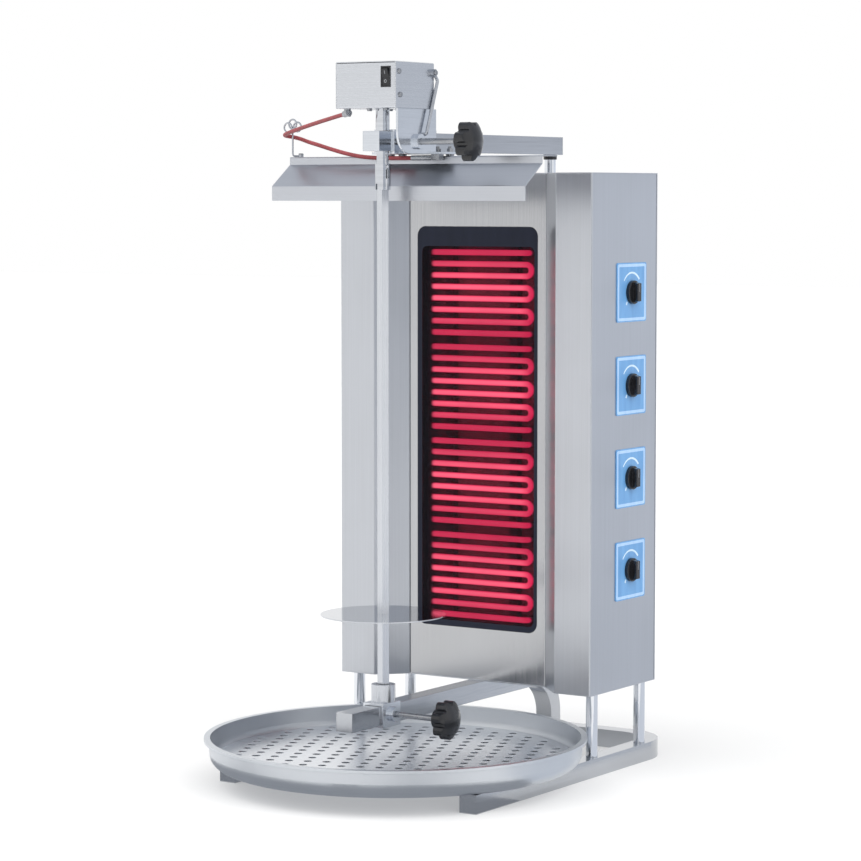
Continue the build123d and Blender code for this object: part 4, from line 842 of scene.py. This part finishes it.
@dataclass
class MotorHead:
    """Upper carriage: saddle, bearing, motor box with its switch, hood and brace."""

    pivot: Point3 = (0.0313, -0.1452, 0.933)
    tilt: float = 9.0
    face: float = -0.0010
    slope: float = 9.0
    paint: float = 0.00012
    bar: Point2 = (0.0042, 0.0009)
    ring: Point2 = (0.0021, 0.0013)
    ring_height: float = -0.0056
    bar_height: float = 0.0058
    ring_steps: int = 24

    def dress(self) -> None:
        """Finish the carriage and mark the switch."""
        dress(SHEET_ACROSS, "hood")
        dress(BOX_SHEET, "motor_box_cover", "motor_box_base")
        dress(BLOCK_MILLED, "bearing_block", "motor_saddle")
        dress(WIRE_POLISHED, "brace_rod", "cable_hook")
        dress(BRONZE_SINTERED, "bearing_bush")
        dress(MOTOR_ENAMEL, "gear_motor")
        dress(ZINC_PLATED, "carriage_fasteners", "upper_clamp_screw")
        dress(BLACK_MOULDED, "switch_bezel", "rocker_switch", "upper_clamp_knob")
        dress(ZINC_PLATED, "cable_glands")
        self.mark_switch()

    def on_rocker(self, across: float, up: float, lift: float = 0.0) -> Point3:
        """Place a point on the rocker's front.

        Args:
            across: Distance across the rocker.
            up: Height along it from its middle.
            lift: Distance off its face.

        Returns:
            The point.
        """
        slant = math.tan(math.radians(self.slope)) * abs(up)
        turn = Matrix.Rotation(math.radians(self.tilt), 4, "X")
        return tuple(Vector(self.pivot) + turn @ Vector((across, self.face - slant - lift, up)))

    def mark_switch(self) -> None:
        """Print the on bar and the off ring on the rocker."""
        mesh = bmesh.new()
        length, width = self.bar
        ends = (self.bar_height - length / 2, self.bar_height + length / 2)
        left = [self.on_rocker(-width / 2, z) for z in ends]
        right = [self.on_rocker(width / 2, z) for z in ends]
        lift = tuple(Vector(self.on_rocker(0.0, ends[0], self.paint)) - Vector(self.on_rocker(0.0, ends[0])))
        band(mesh, (left, right), lift)
        outer, inner = [], []
        for k in range(self.ring_steps):
            angle = 2 * math.pi * k / self.ring_steps
            for row, radius in ((outer, self.ring[0]), (inner, self.ring[1])):
                row.append(
                    self.on_rocker(radius * math.cos(angle), self.ring_height + radius * math.sin(angle))
                )
        band(mesh, (outer, inner), lift, closed=True)
        add_piece("rocker_marks", mesh, PAINT_GREY, "rocker")


@dataclass
class MotorCable:
    """Red silicone lead from the motor box, held up by the wire hook and back to the saddle."""

    diameter: float = 0.0055
    length: float = 0.412
    route: Sequence[Point3] = (
        (-0.0460, -0.1262, 0.8866),
        (-0.0960, -0.0994, 0.8801),
        (-0.1460, -0.0726, 0.8730),
        (-0.1840, -0.0522, 0.8670),
        (-0.2027, -0.0422, 0.8636),
        (-0.2080, -0.0369, 0.8618),
        (-0.2080, -0.0295, 0.8610),
        (-0.2027, -0.0242, 0.8600),
        (-0.1900, -0.0246, 0.8573),
        (-0.1740, -0.0290, 0.8529),
        (-0.1575, -0.0337, 0.8495),
        (-0.1280, -0.0392, 0.8423),
        (-0.0980, -0.0422, 0.8354),
        (-0.0700, -0.0431, 0.8312),
        (-0.0325, -0.0434, 0.8298),
        (0.0040, -0.0432, 0.8300),
    )

    def dress(self) -> None:
        """Lay the cable on one smooth curve through its route."""
        curve = bpy.data.curves.new("motor_cable_line", "CURVE")
        curve.dimensions = "3D"
        curve.bevel_depth = self.diameter / 2
        curve.bevel_resolution = 6
        curve.use_fill_caps = True
        spline = curve.splines.new("NURBS")
        spline.points.add(len(self.route) - 1)
        for point, place in zip(spline.points, self.route):
            point.co = (*place, 1.0)
        spline.order_u = 3
        spline.use_endpoint_u = True
        spline.resolution_u = 16
        curve.materials.append(SILICONE_RED.material())
        cable = bpy.data.objects.new("motor_lead", curve)
        bpy.context.scene.collection.objects.link(cable)
        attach(cable, "upper_carriage")
        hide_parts("motor_cable")
        LOG.info("motor_lead laid over %d points", len(self.route))


@dataclass
class Spit:
    """Output shaft, coupling sleeve, square skewer and meat disc."""

    def dress(self) -> None:
        """Finish the turned and drawn bars and the disc."""
        dress(SHAFT_TURNED, "output_shaft", "coupling_sleeve", "spit_pins")
        dress(BAR_DRAWN, "skewer")
        dress(DISC_SPUN, "meat_disc")


@dataclass
class LowerCarriage:
    """Sliding foot of the spit on the lower arm, with its clamp."""

    def dress(self) -> None:
        """Finish the carriage, its cup and its clamp."""
        dress(BLOCK_MILLED, "lower_carriage")
        dress(BAR_DRAWN, "spit_cup")
        dress(BRONZE_SINTERED, "cup_bush")
        dress(ZINC_PLATED, "lower_clamp_screw")
        dress(BLACK_MOULDED, "lower_clamp_knob")


@dataclass
class DripTray:
    """Spun tray with its perforated plate."""

    def dress(self) -> None:
        """Finish the spun tray and the punched plate."""
        dress(TRAY_SPUN, "drip_tray")
        dress(PLATE_PUNCHED, "drip_plate")


@dataclass
class PhotoCamera:
    """Camera at the photograph's place."""

    place: Point3 = (2.22552, -3.39077, 0.78029)
    azimuth: float = 33.22
    elevation: float = 4.43
    lens_mm: float = 126.72
    sensor_mm: float = 36.0
    far: float = 60.0

    def set_up(self) -> None:
        """Make the camera and point it."""
        data = bpy.data.cameras.new("photo_camera")
        data.sensor_width = self.sensor_mm
        data.lens = self.lens_mm
        data.clip_end = self.far
        camera = bpy.data.objects.new("photo_camera", data)
        around, up = math.radians(self.azimuth), math.radians(self.elevation)
        back = Vector(
            (math.sin(around) * math.cos(up), -math.cos(around) * math.cos(up), math.sin(up))
        )
        camera.location = self.place
        camera.rotation_euler = (-back).to_track_quat("-Z", "Y").to_euler()
        bpy.context.scene.collection.objects.link(camera)
        bpy.context.scene.camera = camera


@dataclass
class Studio:
    """White room with a pale floor, soft lamps and grey boards that the steel reflects; one board is a painted
    shadow on the floor in front of the tray.
    """

    ambient: float = 0.5
    floor_half: float = 20.0
    floor_glow: float = 0.3
    floor_tone: str = "#D4D4D4"
    board_tint: str = "#E9EEF7"
    lamp_angle: float = 70.0

    def light(self) -> None:
        """Set up the room, the floor, the boards and the lamps."""
        bpy.context.scene.view_settings.view_transform = "Standard"
        self.room()
        self.floor()
        self.board("board_right_rear", (0.72, 1.45, 0.75), (2.3, 1.5), -33.0, 0.0, (0.92, 1.08))
        self.board("board_right_high", (0.70, 1.42, 1.4), (2.3, 1.1), -33.0, 0.0, (0.78, 0.78))
        self.board("board_right_front", (3.0, -1.9, 1.2), (2.4, 3.6), 57.0, 0.0, (0.66, 0.72))
        self.board("board_above", (0.0, 0.0, 3.2), (5.0, 5.0), 0.0, 90.0, (0.8, 0.8))
        self.board("board_floor_right", (0.95, 0.75, 0.001), (1.4, 1.7), 0.0, 90.0, (0.88, 0.88))
        # Painted shadow: a dark board on the floor in front of the tray stands in for the tray's shadow, seen
        # only in reflections.
        self.board("floor_shadow_board", (0.0, -0.26, 0.001), (0.62, 0.34), 0.0, 90.0, (0.42, 0.42))
        self.lamp("key_lamp", (-0.5, -0.7, 0.9), 1.6)
        self.lamp("fill_lamp", (0.9, -0.4, 0.8), 2.0)

    @staticmethod
    def seen(tree: bpy.types.NodeTree) -> bpy.types.NodeSocket:
        """Tell which rays see the background directly, mirrored or through glass.

        Args:
            tree: Node tree that asks.

        Returns:
            The socket that is one for such rays.
        """
        path = add_node(tree, "ShaderNodeLightPath")
        first = add_node(
            tree, "ShaderNodeMath",
            {0: path.outputs["Is Camera Ray"], 1: path.outputs["Is Glossy Ray"]}, operation="MAXIMUM",
        )
        return add_node(
            tree, "ShaderNodeMath", {0: first.outputs[0], 1: path.outputs["Is Transmission Ray"]},
            operation="MAXIMUM",
        ).outputs[0]

    def room(self) -> None:
        """Make the background white to the eye and softer as light."""
        world = bpy.data.worlds.new("white_room")
        bpy.context.scene.world = world
        world.use_nodes = True
        tree = world.node_tree
        tree.nodes.clear()
        strength = add_node(
            tree, "ShaderNodeMapRange", {0: self.seen(tree), 3: self.ambient, 4: 1.0}
        )
        sky = add_node(
            tree, "ShaderNodeBackground", {"Color": linear("#FFFFFF"), "Strength": strength.outputs[0]}
        )
        add_node(tree, "ShaderNodeOutputWorld", {"Surface": sky.outputs[0]})

    def floor(self) -> None:
        """Lay a pale floor that stays white to the eye and keeps the object's shadow."""
        material = bpy.data.materials.new("floor_pale_paper")
        material.use_nodes = True
        tree = material.node_tree
        tree.nodes.clear()
        glow = add_node(
            tree, "ShaderNodeMath", {0: self.seen(tree), 1: self.floor_glow}, operation="MULTIPLY"
        )
        shine = add_node(tree, "ShaderNodeEmission", {"Strength": glow.outputs[0]})
        paper = add_node(tree, "ShaderNodeBsdfDiffuse", {"Color": linear(self.floor_tone)})
        both = add_node(tree, "ShaderNodeAddShader", {0: shine.outputs[0], 1: paper.outputs[0]})
        add_node(tree, "ShaderNodeOutputMaterial", {"Surface": both.outputs[0]})
        self.sheet("floor", Matrix.Identity(4), (2 * self.floor_half, 2 * self.floor_half), material)

    @staticmethod
    def sheet(
        name: str, place: Matrix, size: Point2, material: bpy.types.Material
    ) -> bpy.types.Object:
        """Add a flat sheet to the stage.

        Args:
            name: Name of the sheet.
            place: Where it stands.
            size: Its width and height.
            material: Its material.

        Returns:
            The sheet.
        """
        mesh = bmesh.new()
        half_w, half_h = size[0] / 2, size[1] / 2
        corners = ((-half_w, -half_h), (half_w, -half_h), (half_w, half_h), (-half_w, half_h))
        mesh.faces.new([mesh.verts.new((x, y, 0.0)) for x, y in corners])
        data = bpy.data.meshes.new(name)
        mesh.to_mesh(data)
        mesh.free()
        data.materials.append(material)
        piece = bpy.data.objects.new(name, data)
        piece.matrix_world = place
        bpy.context.scene.collection.objects.link(piece)
        return piece

    def board(
        self, name: str, centre: Point3, size: Point2, turn: float, lean: float, tones: Point2
    ) -> None:
        """Stand a grey board where only reflections see it.

        Args:
            name: Name of the board.
            centre: Its centre.
            size: Its width and height.
            turn: Turn about the upright, in degrees.
            lean: Lean from upright to flat, in degrees.
            tones: Grey at its lower and its upper edge.
        """
        material = bpy.data.materials.new(f"{name}_paper")
        material.use_nodes = True
        tree = material.node_tree
        tree.nodes.clear()
        coords = add_node(tree, "ShaderNodeTexCoord")
        spot = add_node(tree, "ShaderNodeSeparateXYZ", {0: coords.outputs["Generated"]})
        tone = add_node(tree, "ShaderNodeMapRange", {0: spot.outputs[1], 3: tones[0], 4: tones[1]})
        grey = add_node(
            tree, "ShaderNodeEmission", {"Color": linear(self.board_tint), "Strength": tone.outputs[0]}
        )
        add_node(tree, "ShaderNodeOutputMaterial", {"Surface": grey.outputs[0]})
        place = (
            Matrix.Translation(centre)
            @ Matrix.Rotation(math.radians(turn), 4, "Z")
            @ Matrix.Rotation(math.radians(90.0 - lean), 4, "X")
        )
        piece = self.sheet(name, place, size, material)
        piece.visible_camera = False
        piece.visible_diffuse = False
        piece.visible_shadow = False
        piece.visible_transmission = False

    def lamp(self, name: str, side: Point3, strength: float) -> None:
        """Light the room evenly from one side through a wide soft panel.

        Args:
            name: Name of the lamp.
            side: Direction that it shines from.
            strength: Light that it lays on a surface square to it, in watts per square metre.
        """
        data = bpy.data.lights.new(name, "SUN")
        data.energy = strength
        data.angle = math.radians(self.lamp_angle)
        piece = bpy.data.objects.new(name, data)
        piece.location = side
        piece.rotation_euler = (-Vector(side)).to_track_quat("-Z", "Y").to_euler()
        piece.visible_glossy = False
        bpy.context.scene.collection.objects.link(piece)


def main() -> None:
    """Build and dress the grill, then set up the camera and the studio."""
    logging.basicConfig(level=logging.INFO, format="%(name)s: %(message)s")
    PhotoCamera().set_up()
    assemblies = (
        MotorCable(), BaseFrame(), Cabinet(), Heater(), Controls(), MotorHead(), Spit(), LowerCarriage(),
        DripTray(),
    )
    for assembly in assemblies:
        assembly.dress()
    Studio().light()


if __name__ == "__main__":
    main()
